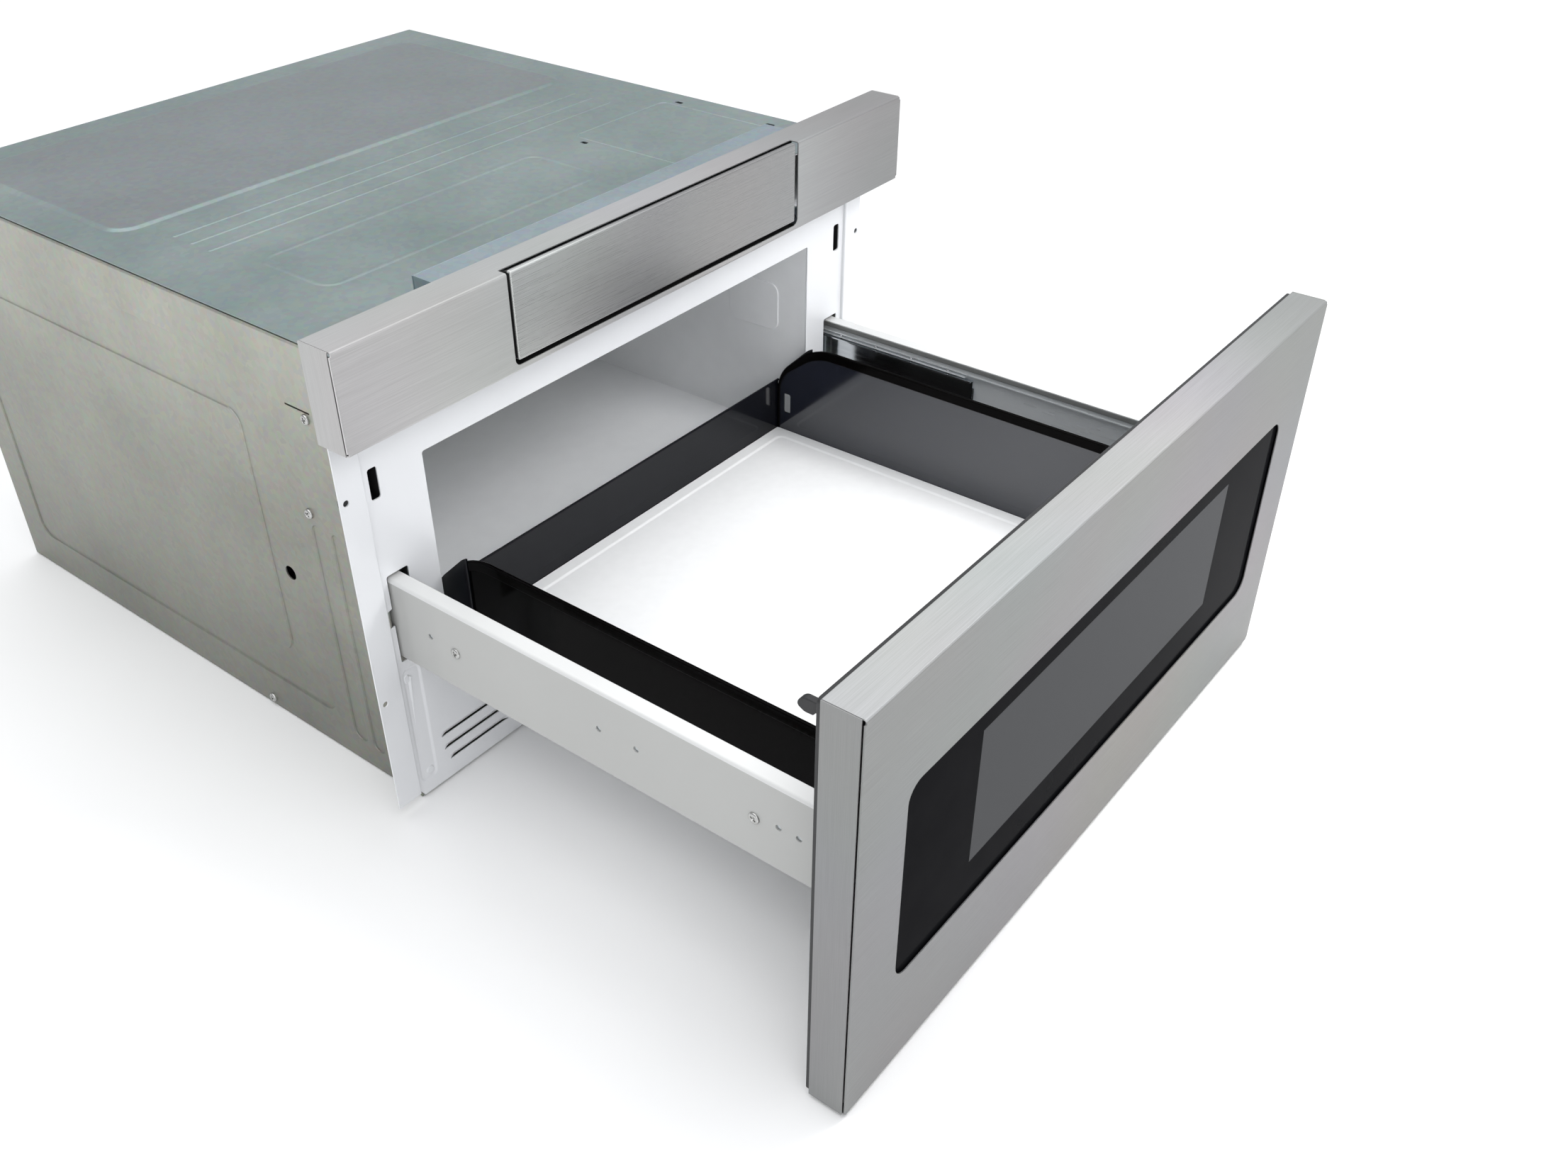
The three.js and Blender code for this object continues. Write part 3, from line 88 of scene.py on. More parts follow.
def finish(name, tones, roughness, grain, metallic=0.0, relief=0.0, depth=0.00005, detail=3, **plain):
    """A finish whose colour, roughness and surface follow one noise in the object's own coordinates.
    tones and roughness are pairs, grain is the noise's fineness along x, y and z."""
    made = bpy.data.materials.new(name)
    made.use_nodes = True
    nodes, links = made.node_tree.nodes, made.node_tree.links
    shader = nodes["Principled BSDF"]
    shader.inputs["Metallic"].default_value = metallic
    for socket, value in plain.items():
        shader.inputs[socket.replace("_", " ")].default_value = value
    place = nodes.new("ShaderNodeTexCoord")
    stretch = nodes.new("ShaderNodeMapping")
    stretch.inputs["Scale"].default_value = grain
    noise = nodes.new("ShaderNodeTexNoise")
    noise.inputs["Scale"].default_value = 1
    noise.inputs["Detail"].default_value = detail
    links.new(place.outputs["Object"], stretch.inputs["Vector"])
    links.new(stretch.outputs["Vector"], noise.inputs["Vector"])
    colour = nodes.new("ShaderNodeValToRGB")
    colour.name = "tones"
    for stop, tone, at in zip(colour.color_ramp.elements, tones, (0.32, 0.68)):
        stop.color, stop.position = (*tone, 1), at
    gloss = nodes.new("ShaderNodeMapRange")
    gloss.inputs["From Min"].default_value, gloss.inputs["From Max"].default_value = 0.3, 0.7
    gloss.inputs["To Min"].default_value, gloss.inputs["To Max"].default_value = roughness
    links.new(noise.outputs["Fac"], colour.inputs["Fac"])
    links.new(noise.outputs["Fac"], gloss.inputs["Value"])
    links.new(colour.outputs["Color"], shader.inputs["Base Color"])
    links.new(gloss.outputs["Result"], shader.inputs["Roughness"])
    if relief:
        bump = nodes.new("ShaderNodeBump")
        bump.inputs["Strength"].default_value = relief
        bump.inputs["Distance"].default_value = depth
        links.new(noise.outputs["Fac"], bump.inputs["Height"])
        links.new(bump.outputs["Normal"], shader.inputs["Normal"])
    return made


def stage(name, bm, paint):
    """A part of the studio, not of the object."""
    mesh = bpy.data.meshes.new(name)
    bm.to_mesh(mesh)
    bm.free()
    mesh.materials.append(paint)
    thing = bpy.data.objects.new(name, mesh)
    bpy.context.scene.collection.objects.link(thing)
    return thing


STUDIO_WHITE = (0.97, 0.98, 1, 1)
FLOOR_LEVEL = -0.0008
BACKDROP_RADIUS = 9
floor_finish = finish("floor", ((0.96, 0.96, 0.96), (0.98, 0.98, 0.98)), (0.7, 0.8), (3, 3, 3))
nodes, links = floor_finish.node_tree.nodes, floor_finish.node_tree.links
nodes["Principled BSDF"].inputs["Emission Color"].default_value = STUDIO_WHITE
distance = nodes.new("ShaderNodeVectorMath")
distance.operation = "LENGTH"
far_glow = nodes.new("ShaderNodeMapRange")     # the lamps fade with distance, so the far floor glows a little
far_glow.interpolation_type = "SMOOTHSTEP"
far_glow.inputs["From Min"].default_value, far_glow.inputs["From Max"].default_value = 1.3, 4.5
far_glow.inputs["To Min"].default_value, far_glow.inputs["To Max"].default_value = 0, 0.42
links.new(nodes["Texture Coordinate"].outputs["Object"], distance.inputs[0])
links.new(distance.outputs["Value"], far_glow.inputs["Value"])
links.new(far_glow.outputs["Result"], nodes["Principled BSDF"].inputs["Emission Strength"])
ground = bmesh.new()
bmesh.ops.create_grid(ground, x_segments=1, y_segments=1, size=14)
bmesh.ops.translate(ground, verts=ground.verts, vec=(0, 0, FLOOR_LEVEL))
stage("floor", ground, floor_finish)

paper = bpy.data.materials.new("backdrop")
paper.use_nodes = True
shader = paper.node_tree.nodes["Principled BSDF"]
shader.inputs["Base Color"].default_value = (0, 0, 0, 1)
shader.inputs["Specular IOR Level"].default_value = 0
shader.inputs["Emission Color"].default_value = STUDIO_WHITE
shader.inputs["Emission Strength"].default_value = 0.99
dome = bmesh.new()
bmesh.ops.create_uvsphere(dome, u_segments=64, v_segments=32, radius=BACKDROP_RADIUS)
bmesh.ops.reverse_faces(dome, faces=dome.faces)
backdrop = stage("backdrop", dome, paper)
backdrop.visible_diffuse = backdrop.visible_glossy = False
backdrop.visible_transmission = backdrop.visible_shadow = False

# ---------------- front band
# The band across the top of the front: one sheet of brushed stainless steel, folded back along its
# top and bottom, with a separate plate let into each end behind a narrow seam.

MM = 0.001
FRONT = -311.8                   # the band's front face
BAND_HALF = 303
BAND_SPAN = (-0.303, 0.303)
BAND_LOW, FRONT_TOP, BAND_DEPTH = 329, 400, 29
PANEL_NOTCH = (158.5, 333.2, 8.5)
FOLD = 1.5
SEAM = 1.3


def box(u0, u1, v0, v1, radius=0):
    """The four corners of a rectangle, each with the radius it is rounded by."""
    return [(u0, v0, radius), (u1, v0, radius), (u1, v1, radius), (u0, v1, radius)]


def outline(corners, steps=6):
    """The points round a flat shape; a corner with a third number is rounded by that radius."""
    flat = bmesh.new()
    verts = [flat.verts.new((corner[0], corner[1], 0)) for corner in corners]
    flat.faces.new(verts)
    for vert, corner in zip(verts, corners):
        if len(corner) > 2 and corner[2]:
            bmesh.ops.bevel(flat, geom=[vert], offset=corner[2], offset_type="OFFSET", segments=steps,
                            profile=0.5, affect="VERTICES", material=-1)
    flat.faces.ensure_lookup_table()
    points = [(vert.co.x, vert.co.y) for vert in flat.faces[0].verts]
    flat.free()
    return points


def ring(bm, points, level=0.0):
    """A closed line of edges through flat points."""
    verts = [bm.verts.new((u, v, level)) for u, v in points]
    return [bm.edges.new(pair) for pair in zip(verts, verts[1:] + verts[:1])]


# The soft slope of a pressed shoulder, as shares of its width and of its depth.
SHOULDER = ((0, 0), (0.3, 0.13), (0.7, 0.87), (1, 1))


def poured(source, target):
    """Adds one mesh to another and lets it go."""
    carrier = bpy.data.meshes.new("carrier")
    source.to_mesh(carrier)
    source.free()
    target.from_mesh(carrier)
    bpy.data.meshes.remove(carrier)


def pressing(bm, corners, depth, width, dimples=()):
    """A field pressed to a depth, its shoulder width wide, with smaller dimples in its floor.
    Returns its outer edges."""
    field = bmesh.new()
    face = field.faces.new([field.verts.new((u, v, 0)) for u, v in outline(corners)])
    face.normal_update()
    if face.normal.z < 0:
        face.normal_flip()
    for (s0, t0), (s1, t1) in zip(SHOULDER, SHOULDER[1:]):
        bmesh.ops.inset_region(field, faces=[face], thickness=width * (s1 - s0), depth=depth * (t1 - t0),
                               use_boundary=True, use_even_offset=True)
    if dimples:
        lines = list(face.edges)
        bmesh.ops.delete(field, geom=[face], context="FACES_ONLY")
        for dimple in dimples:
            before = set(field.verts)
            lines += pressing(field, *dimple)
            bmesh.ops.translate(field, vec=(0, 0, depth), verts=[v for v in field.verts if v not in before])
        bmesh.ops.triangle_fill(field, edges=lines, use_beauty=True, normal=(0, 0, 1))
    known = set(bm.edges)
    poured(field, bm)
    return [edge for edge in bm.edges if edge not in known and edge.is_boundary]


def grown(rectangle, by):
    """A rounded rectangle made larger all round."""
    (u0, v0, radius), (u1, v1, _) = rectangle[0], rectangle[2]
    return box(u0 - by, u1 + by, v0 - by, v1 + by, radius + by)


def circle(u, v, radius, segments=24):
    """The corners of a round hole."""
    disc = bmesh.new()
    bmesh.ops.create_circle(disc, segments=segments, radius=radius)
    points = [(u + vert.co.x, v + vert.co.y) for vert in disc.verts]
    disc.free()
    return points


def pressed_frame(bm, outer, inner, depth, width, holes=()):
    """A sunk band between two rounded rectangles, with holes in it: returns the edges on both sides."""
    down = [ring(bm, outline(grown(outer, -width * s)), depth * t) for s, t in SHOULDER]
    up = [ring(bm, outline(grown(inner, width * (1 - s))), depth * (1 - t)) for s, t in SHOULDER]
    for loops in (down, up):
        for near, far in zip(loops, loops[1:]):
            bmesh.ops.bridge_loops(bm, edges=near + far)
    bottom = down[-1] + up[0]
    for hole in holes:
        bottom += ring(bm, outline(hole), depth)
    bmesh.ops.triangle_fill(bm, edges=bottom, use_beauty=True, normal=(0, 0, 1))
    return down[0] + up[-1]


def face_up(bm):
    """Turns a flat sheet's faces to its outer side."""
    bmesh.ops.recalc_face_normals(bm, faces=bm.faces)
    if sum(face.normal.z * face.calc_area() for face in bm.faces) < 0:
        bmesh.ops.reverse_faces(bm, faces=bm.faces)


def sheet(rim, holes=(), fields=(), frames=()):
    """A flat sheet, its outer side up: an outline with holes, sunk fields (corners, depth, width)
    and sunk frames (outer, inner, depth, width)."""
    bm = bmesh.new()
    lines = ring(bm, outline(rim))
    for hole in holes:
        lines += ring(bm, outline(hole))
    for field in fields:
        lines += pressing(bm, *field)
    for pressed in frames:
        lines += pressed_frame(bm, *pressed)
    bmesh.ops.triangle_fill(bm, edges=lines, use_beauty=True, normal=(0, 0, 1))
    face_up(bm)
    return bm


def drawn_verts(result):
    """The vertices that an extrusion made."""
    return [item for item in result["geom"] if isinstance(item, bmesh.types.BMVert)]


def fold(bm, towards, radius, reach, turn=90, steps=4):
    """Bends over the straight edge that lies furthest towards a direction and draws it on by reach."""
    towards = Vector(towards)
    far = max(vert.co.dot(towards) for vert in bm.verts)
    edges = [edge for edge in bm.edges if edge.is_boundary
             and all(abs(vert.co.dot(towards) - far) < 0.01 for vert in edge.verts)]
    axis = Vector((0, 0, 1)).cross(towards)
    bent = bmesh.ops.spin(bm, geom=edges, cent=towards * far - Vector((0, 0, radius)), axis=axis,
                          angle=math.radians(turn), steps=steps)
    last = [item for item in bent["geom_last"] if isinstance(item, bmesh.types.BMEdge)]
    drawn = bmesh.ops.extrude_edge_only(bm, edges=last)
    straight = Matrix.Rotation(math.radians(turn), 3, axis) @ towards
    bmesh.ops.translate(bm, vec=straight * reach, verts=drawn_verts(drawn))


def standing(u, v, origin):
    """Stands a flat sheet up: its width along u, its height along v, its outer side facing u x v."""
    u, v = Vector(u), Vector(v)
    return Matrix.Translation(origin) @ Matrix((u, v, u.cross(v))).transposed().to_4x4()


def moved(bm, matrix):
    """The same mesh, placed."""
    bmesh.ops.transform(bm, matrix=matrix, verts=bm.verts)
    return bm


def mirrored(bm):
    """A copy on the other side of the middle plane, still facing outwards."""
    other = bm.copy()
    bmesh.ops.scale(other, vec=(-1, 1, 1), verts=other.verts)
    bmesh.ops.reverse_faces(other, faces=other.faces)
    return other


def joined(*parts):
    """Several meshes as one."""
    whole = bmesh.new()
    for part in parts:
        poured(part, whole)
    return whole


def make(name, bm, material, body, stands_for=(), thickness=0.0, ease=0.0, ease_steps=2, sharp=35,
         inner_material=0):
    """Finishes a piece drawn in millimetres: welded, given its sheet's thickness and eased edges."""
    bmesh.ops.remove_doubles(bm, verts=bm.verts, dist=0.005)
    bmesh.ops.dissolve_limit(bm, angle_limit=math.radians(0.3), verts=bm.verts, edges=bm.edges,
                             delimit={"MATERIAL"})
    bmesh.ops.scale(bm, vec=(MM, MM, MM), verts=bm.verts)
    mesh = bpy.data.meshes.new(name)
    bm.to_mesh(mesh)
    bm.free()
    mesh.shade_smooth()
    mesh.set_sharp_from_angle(angle=math.radians(sharp))
    for item in material if isinstance(material, list) else [material]:
        mesh.materials.append(item)
    piece = bpy.data.objects.new(name, mesh)
    bpy.context.scene.collection.objects.link(piece)
    if thickness:
        wall = piece.modifiers.new("thickness", "SOLIDIFY")
        wall.thickness, wall.offset, wall.use_even_offset = thickness * MM, -1, True
        wall.material_offset = inner_material
    if ease:
        edges = piece.modifiers.new("edges", "BEVEL")
        edges.width, edges.segments = ease * MM, ease_steps
        edges.limit_method, edges.angle_limit = "ANGLE", math.radians(50)
        edges.use_clamp_overlap = True
    shade = piece.modifiers.new("shading", "WEIGHTED_NORMAL")
    shade.keep_sharp, shade.weight = True, 100
    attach(piece, body)
    if stands_for:
        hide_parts(*([stands_for] if isinstance(stands_for, str) else stands_for))
    return piece


def folded_front(half, low, high, depth, notch=None, holes=()):
    """A front sheet folded back at its top and bottom, with an end plate behind each of its ends.
    notch is (half width, lowest level, depth behind the face) of a cut-out through the top fold."""
    top, bottom, inner = high - FOLD, low + FOLD, half - SEAM
    right = [(inner, bottom), (inner, bottom + SEAM), (half, bottom + SEAM), (half, top - SEAM),
             (inner, top - SEAM), (inner, top)]
    middle = []
    if notch:
        middle = [(notch[0], top), (notch[0], notch[1], 5), (-notch[0], notch[1], 5), (-notch[0], top)]
    front = sheet(right + middle + [(-u, v) for u, v in reversed(right)], holes)
    fold(front, (0, -1, 0), FOLD, depth - FOLD)
    if notch:
        fold(front, (0, 1, 0), FOLD, notch[2] - FOLD)
        for u0, u1 in ((-inner, -notch[0]), (-notch[0], notch[0]), (notch[0], inner)):
            corners = ((u0, -notch[2]), (u0, -depth), (u1, -depth), (u1, -notch[2]))
            front.faces.new([front.verts.new((u, high, level)) for u, level in corners])
        bmesh.ops.remove_doubles(front, verts=front.verts, dist=0.01)
        bmesh.ops.recalc_face_normals(front, faces=front.faces)
        if max(front.faces, key=lambda face: face.calc_area()).normal.z < 0:
            bmesh.ops.reverse_faces(front, faces=front.faces)
    else:
        fold(front, (0, 1, 0), FOLD, depth - FOLD)
    end = sheet(box(SEAM + 1, depth, low, high))
    return front, end


def overlay(material, texture, amount):
    """Lays the tones of a second texture softly over a finish's own."""
    nodes, links = material.node_tree.nodes, material.node_tree.links
    blend = nodes.new("ShaderNodeMix")
    blend.data_type, blend.blend_type = "RGBA", "SOFT_LIGHT"
    blend.inputs["Factor"].default_value = amount
    links.new(nodes["Texture Coordinate"].outputs["Object"], texture.inputs["Vector"])
    links.new(nodes["tones"].outputs["Color"], blend.inputs["A"])
    links.new(texture.outputs["Color"], blend.inputs["B"])
    links.new(blend.outputs["Result"], nodes["Principled BSDF"].inputs["Base Color"])


def brushed(name, tones, roughness, along, relief=0.14):
    """Stainless steel brushed along one axis: long fine scratches over a slow change of tone."""
    fine = [2600, 2600, 2600]
    fine[along] = 22
    steel = finish(name, tones, roughness, fine, metallic=0.62, relief=relief, depth=0.00002, detail=5)
    slow = steel.node_tree.nodes.new("ShaderNodeTexNoise")
    slow.inputs["Scale"].default_value = 5
    slow.inputs["Detail"].default_value = 1
    overlay(steel, slow, 0.12)
    return steel


brushed_steel = brushed("brushed_steel", ((0.45, 0.45, 0.45), (0.53, 0.53, 0.53)), (0.36, 0.46), 0)
brushed_end = brushed("brushed_end", ((0.44, 0.44, 0.435), (0.52, 0.52, 0.515)), (0.42, 0.52), 2)


def reckoned(nodes, operation, by=0.5):
    """A Math node that works on what comes in by a number."""
    node = nodes.new("ShaderNodeMath")
    node.operation = operation
    node.inputs[1].default_value = by
    return node


def painted_light_drift(material, axis, span, factors):
    """The same finish with painted light and shade: its tone drifting slowly along the sheet, by one factor after
    another.
    """
    nodes, links = material.node_tree.nodes, material.node_tree.links
    shader = nodes["Principled BSDF"]
    source = shader.inputs["Base Color"].links[0].from_socket
    apart = nodes.new("ShaderNodeSeparateXYZ")
    along = nodes.new("ShaderNodeMapRange")
    along.inputs["From Min"].default_value, along.inputs["From Max"].default_value = span
    drift = nodes.new("ShaderNodeValToRGB")
    drift.color_ramp.interpolation = "EASE"
    stops = drift.color_ramp.elements
    for number in range(1, len(factors) - 1):
        stops.new(number / (len(factors) - 1))
    for stop, factor in zip(stops, factors):
        stop.color = (*[factor / max(factors)] * 3, 1)
    raised = reckoned(nodes, "MULTIPLY", max(factors))
    scaled = nodes.new("ShaderNodeVectorMath")
    scaled.operation = "SCALE"
    links.new(nodes["Texture Coordinate"].outputs["Object"], apart.inputs["Vector"])
    links.new(apart.outputs[axis], along.inputs["Value"])
    links.new(along.outputs["Result"], drift.inputs["Fac"])
    links.new(drift.outputs["Color"], raised.inputs[0])
    links.new(source, scaled.inputs[0])
    links.new(raised.outputs[0], scaled.inputs["Scale"])
    links.new(scaled.outputs["Vector"], shader.inputs["Base Color"])


# Painted reflection: the band's face is made lighter towards its left end and darker towards its right.
painted_light_drift(brushed_steel, "X", BAND_SPAN, (1.28, 1.0, 0.52))

FACING_FRONT = ((1, 0, 0), (0, 0, 1))
FACING_RIGHT = ((0, 1, 0), (0, 0, 1))
band_front, band_end = folded_front(BAND_HALF, BAND_LOW, FRONT_TOP, BAND_DEPTH, notch=PANEL_NOTCH)
moved(band_front, standing(*FACING_FRONT, (0, FRONT, 0)))
moved(band_end, standing(*FACING_RIGHT, (BAND_HALF, FRONT, 0)))
# The tops of the band and of the door take a tone of their own, apart from the fronts of the same steel, for how
# light falls on them, and darken towards the right end: painted light and shade.
for face in band_front.faces:
    face.material_index = int(face.normal.z > 0.3)
top_shading_steel = brushed("top_shading_steel", ((0.38, 0.38, 0.38), (0.46, 0.46, 0.465)), (0.4, 0.5), 0)
painted_light_drift(top_shading_steel, "X", BAND_SPAN, (1.08, 1.0, 0.66))
# Painted shade: the insides of the folded steel sheets are black, so that the gaps along the band, the panel and the
# door read dark.
painted_shade_black = finish("painted_shade_black", ((0.006, 0.006, 0.006), (0.011, 0.011, 0.011)), (0.8, 0.9), (800, 800, 800),
                      relief=0.4, depth=0.0001)
make("band_front", band_front, [brushed_steel, top_shading_steel, painted_shade_black], "chassis", "front_band",
     1, 0.2, inner_material=2)
make("band_ends", joined(mirrored(band_end), band_end), brushed_end, "chassis", (), 1, 0.2)

# ---------------- control panel
# A tilting front of the same steel, turned back round its edges, over a moulded black wedge with a
# black touch glass let into the wedge's slope. It hangs on two pins near its lower edge.

PANEL_HALF = 155
PANEL_LOW = 336.4


def pan(x, y, z, open_side, rounds, steps=4):
    """A shallow tray: a block without the side that faces open_side, its edges rounded off."""
    bm = bmesh.new()
    bmesh.ops.create_cube(bm, size=1)
    size = Vector((x[1] - x[0], y[1] - y[0], z[1] - z[0]))
    bmesh.ops.scale(bm, vec=size, verts=bm.verts)
    bmesh.ops.translate(bm, vec=((x[0] + x[1]) / 2, (y[0] + y[1]) / 2, (z[0] + z[1]) / 2), verts=bm.verts)
    bm.normal_update()
    away = [face for face in bm.faces if face.normal.dot(Vector(open_side)) > 0.9]
    bmesh.ops.delete(bm, geom=away, context="FACES_ONLY")
    closed = [edge for edge in bm.edges if len(edge.link_faces) == 2]
    bmesh.ops.bevel(bm, geom=closed, offset=rounds, offset_type="OFFSET", segments=steps, profile=0.5,
                    affect="EDGES", material=-1)
    return bm


panel_steel = brushed("panel_steel", ((0.43, 0.43, 0.43), (0.465, 0.465, 0.465)), (0.26, 0.31), 0, 0.03)
# Painted reflection: the panel's face is darker from its middle to its right end.
painted_light_drift(panel_steel, "X", (-0.156, 0.156), (1.25, 0.6, 0.6))
face_pan = pan((-PANEL_HALF, PANEL_HALF), (FRONT, FRONT + 3.6), (PANEL_LOW, FRONT_TOP), (0, 1, 0), 1.4)
# The panel's side and bottom returns are black as well: painted shade in the gap round it.
for face in face_pan.faces:
    face.material_index = int(abs(face.normal.x) > 0.99 or face.normal.z < -0.99)
make("control_panel_face", face_pan, [panel_steel, painted_shade_black], "control_panel", "panel_face",
     1, 0.15, inner_material=1)


def eased(node, material, body, ease=0.4, steps=2, sharp=35):
    """A node's own shape, welded and given softened edges, under a finish of its own."""
    bm = bmesh.new()
    bm.from_mesh(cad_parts[node].data)
    bmesh.ops.scale(bm, vec=(1 / MM, 1 / MM, 1 / MM), verts=bm.verts)
    return make(node + "_piece", bm, material, body, node, 0, ease, steps, sharp)


black_plastic = finish("black_plastic", ((0.012, 0.012, 0.013), (0.022, 0.022, 0.023)), (0.42, 0.55),
                       (900, 900, 900), relief=0.25, depth=0.00004)
touch_black = finish("touch_glass", ((0.006, 0.006, 0.007), (0.009, 0.009, 0.01)), (0.03, 0.06), (40, 40, 40),
                     Coat_Weight=0.6, Coat_Roughness=0.02)
eased("panel_carrier", black_plastic, "control_panel", 0.8, 3)
eased("touch_glass", touch_black, "control_panel", 0.3)

# ---------------- control panel housing
# A folded frame of zinc-coated sheet behind the band, its back spot-welded on, with the control
# board standing behind it and the little motor that tilts the panel inside its right end.


def zinc_coated(name, tones, roughness, spangle, metallic=0.75):
    """Zinc-coated sheet: the flat crystals of the coat, each a little lighter or duller than the next."""
    coat = finish(name, tones, roughness, (9, 9, 9), metallic=metallic, relief=0.1)
    crystals = coat.node_tree.nodes.new("ShaderNodeTexVoronoi")
    crystals.inputs["Scale"].default_value = spangle
    overlay(coat, crystals, 0.1)
    return coat


housing_zinc = zinc_coated("housing_zinc", ((0.27, 0.33, 0.36), (0.32, 0.38, 0.41)), (0.42, 0.5), 260)
eased("panel_housing", housing_zinc, "chassis", 0.3)
eased("housing_back", housing_zinc, "chassis", 0.3)

# ---------------- front plate of the case
# White painted sheet behind the band: the mouth of the cavity, a slot for each latch hook, a cut for
# each rail, three formed louvres a side, and a stepped flange that is screwed to the cabinet through
# a spring nut behind its upper hole.

PLATE_FACE = FRONT + 34.6
PLATE_HALF = 273
CASE_TOP = 370.5
FLANGE_FACE = FRONT + 31.5
FLANGE_HOLE, FLANGE_HOLE_LEVELS = 289.7, (278, 108)
white_paint = finish("white_paint", ((0.79, 0.8, 0.82), (0.81, 0.82, 0.84)), (0.28, 0.34), (12, 12, 12),
                     Coat_Weight=0.25, Coat_Roughness=0.15)

rail_cut = [(248, 131, 1), (267.5, 131, 1), (267.5, 164), (272.7, 162), (272.7, 177.5), (267.5, 179),
            (267.5, 206, 2), (248, 206, 2)]
louvres = ((177, 244, 43), (177, 243, 30), (177, 239, 17.5))
plate_holes = [box(-221, 221, 98, 284.5, 2)]
for side in (-1, 1):
    plate_holes.append(box(*sorted((side * 259.5, side * 267.5)), 267.5, 291.5, 2))
    plate_holes.append([(side * corner[0], *corner[1:]) for corner in rail_cut])
    plate_holes += [box(*sorted((side * near, side * far)), z, z + 5.2, 0.8) for near, far, z in louvres]
right_rim = [(268, 1.6), (PLATE_HALF, 10), (PLATE_HALF, CASE_TOP), (190.3, CASE_TOP), (190.3, 327.7)]
beads = [(box(*sorted((side * 252, side * 270)), 13, 124, 6), -1.0, 3,
          [(box(*sorted((side * 263, side * 268)), 110, 118, 2.4), 0.8, 1),
           (box(*sorted((side * 255, side * 263)), 17, 25, 3.9), 0.9, 1.6)]) for side in (-1, 1)]
plate = sheet(right_rim + [(-u, v) for u, v in reversed(right_rim)], plate_holes, fields=beads)
moved(plate, standing(*FACING_FRONT, (0, PLATE_FACE, 0)))


def louvre_blade(near, far, level, rise=5.2, sink=2.2):
    """The sheet over a louvre's slit, pushed in towards the slit and drawn up flat at both ends."""
    blade = bmesh.new()
    profile = [(level + rise, 0), (level + rise * 0.8, -0.35), (level + rise * 0.45, -sink * 0.7),
               (level + rise * 0.16, -sink)]
    verts = [blade.verts.new((near, v, out)) for v, out in profile]
    line = [blade.edges.new(pair) for pair in zip(verts, verts[1:])]
    for reach in (2, 3, far - near - 10, 3, 2):
        drawn = bmesh.ops.extrude_edge_only(blade, edges=line)
        line = [item for item in drawn["geom"] if isinstance(item, bmesh.types.BMEdge)]
        bmesh.ops.translate(blade, vec=(reach, 0, 0), verts=drawn_verts(drawn))
    for vert in blade.verts:
        inward = min(vert.co.x - near, far - vert.co.x)
        vert.co.z *= min(1, inward / 4)
    face_up(blade)
    return blade


blades = [moved(louvre_blade(*louvre), standing(*FACING_FRONT, (0, PLATE_FACE, 0))) for louvre in louvres]
flange = sheet(box(274.5, 295, 8.5, 366.5), [circle(FLANGE_HOLE, z, 2.4, 16) for z in FLANGE_HOLE_LEVELS])
fold(flange, (-1, 0, 0), 1.4, 1.6)
moved(flange, standing(*FACING_FRONT, (0, FLANGE_FACE, 0)))
plate_parts = [plate, mirrored(flange), flange, *[mirrored(blade) for blade in blades], *blades]
make("front_plate_piece", joined(*plate_parts), white_paint, "chassis", "front_plate", 1.1, 0.2)

spring_nut = bmesh.new()
bmesh.ops.create_circle(spring_nut, cap_ends=True, segments=6, radius=4.8)
drawn = bmesh.ops.extrude_face_region(spring_nut, geom=list(spring_nut.faces))
bmesh.ops.translate(spring_nut, vec=(0, 0, -2.6), verts=drawn_verts(drawn))
bmesh.ops.recalc_face_normals(spring_nut, faces=spring_nut.faces)
moved(spring_nut, standing(*FACING_FRONT, (FLANGE_HOLE, FLANGE_FACE + 1.2, FLANGE_HOLE_LEVELS[0])))
make("flange_nuts", joined(mirrored(spring_nut), spring_nut), black_plastic, "chassis", (), 0, 0.4)

# ---------------- side panels
# Zinc-coated sheet with pressed stiffening fields, a lanced slit above the upper screw and one
# plain round hole. The top edge is flanged in under the top cover.

# The side panels' olive tint stands for what they reflect, and their tone darkens towards the floor: painted
# reflection and painted shade.
case_zinc = zinc_coated("case_zinc", ((0.26, 0.263, 0.23), (0.34, 0.343, 0.3)), (0.34, 0.46), 240)
painted_light_drift(case_zinc, "Z", (0.0, 0.37), (0.72, 0.95, 1.38))
CASE_HALF = 270
CASE_FRONT = 36.1                # the case's front edge, behind the band's face
side_fields = [(box(74, 88, 20, 223, 6.5), -1.1, 1.4), (box(93, 110, 22, 223, 8), -1.1, 1.4)]
side_frames = [(box(128, 556, 35, 334, 14), box(172, 512, 77, 290, 12), -1.1, 1.5, [circle(151, 161, 6)])]
side_sheet = sheet(box(CASE_FRONT, 588.2, 0.3, 366.4), [box(83, 109, 317.3, 318.7), box(60, 79, 296.3, 297.7)],
                   side_fields, side_frames)
fold(side_sheet, (0, 1, 0), 2, 12)
moved(side_sheet, standing(*FACING_RIGHT, (CASE_HALF, FRONT, 0)))
for side, panel in (("right", side_sheet), ("left", mirrored(side_sheet))):
    node = "side_panel_" + side
    make(node + "_piece", panel, case_zinc, "chassis", node, 1, 0.2)

# ---------------- top cover
# One zinc-coated sheet notched round the housing, with a large raised field at the back, three ribs
# across it and two pressed loops in front of them.

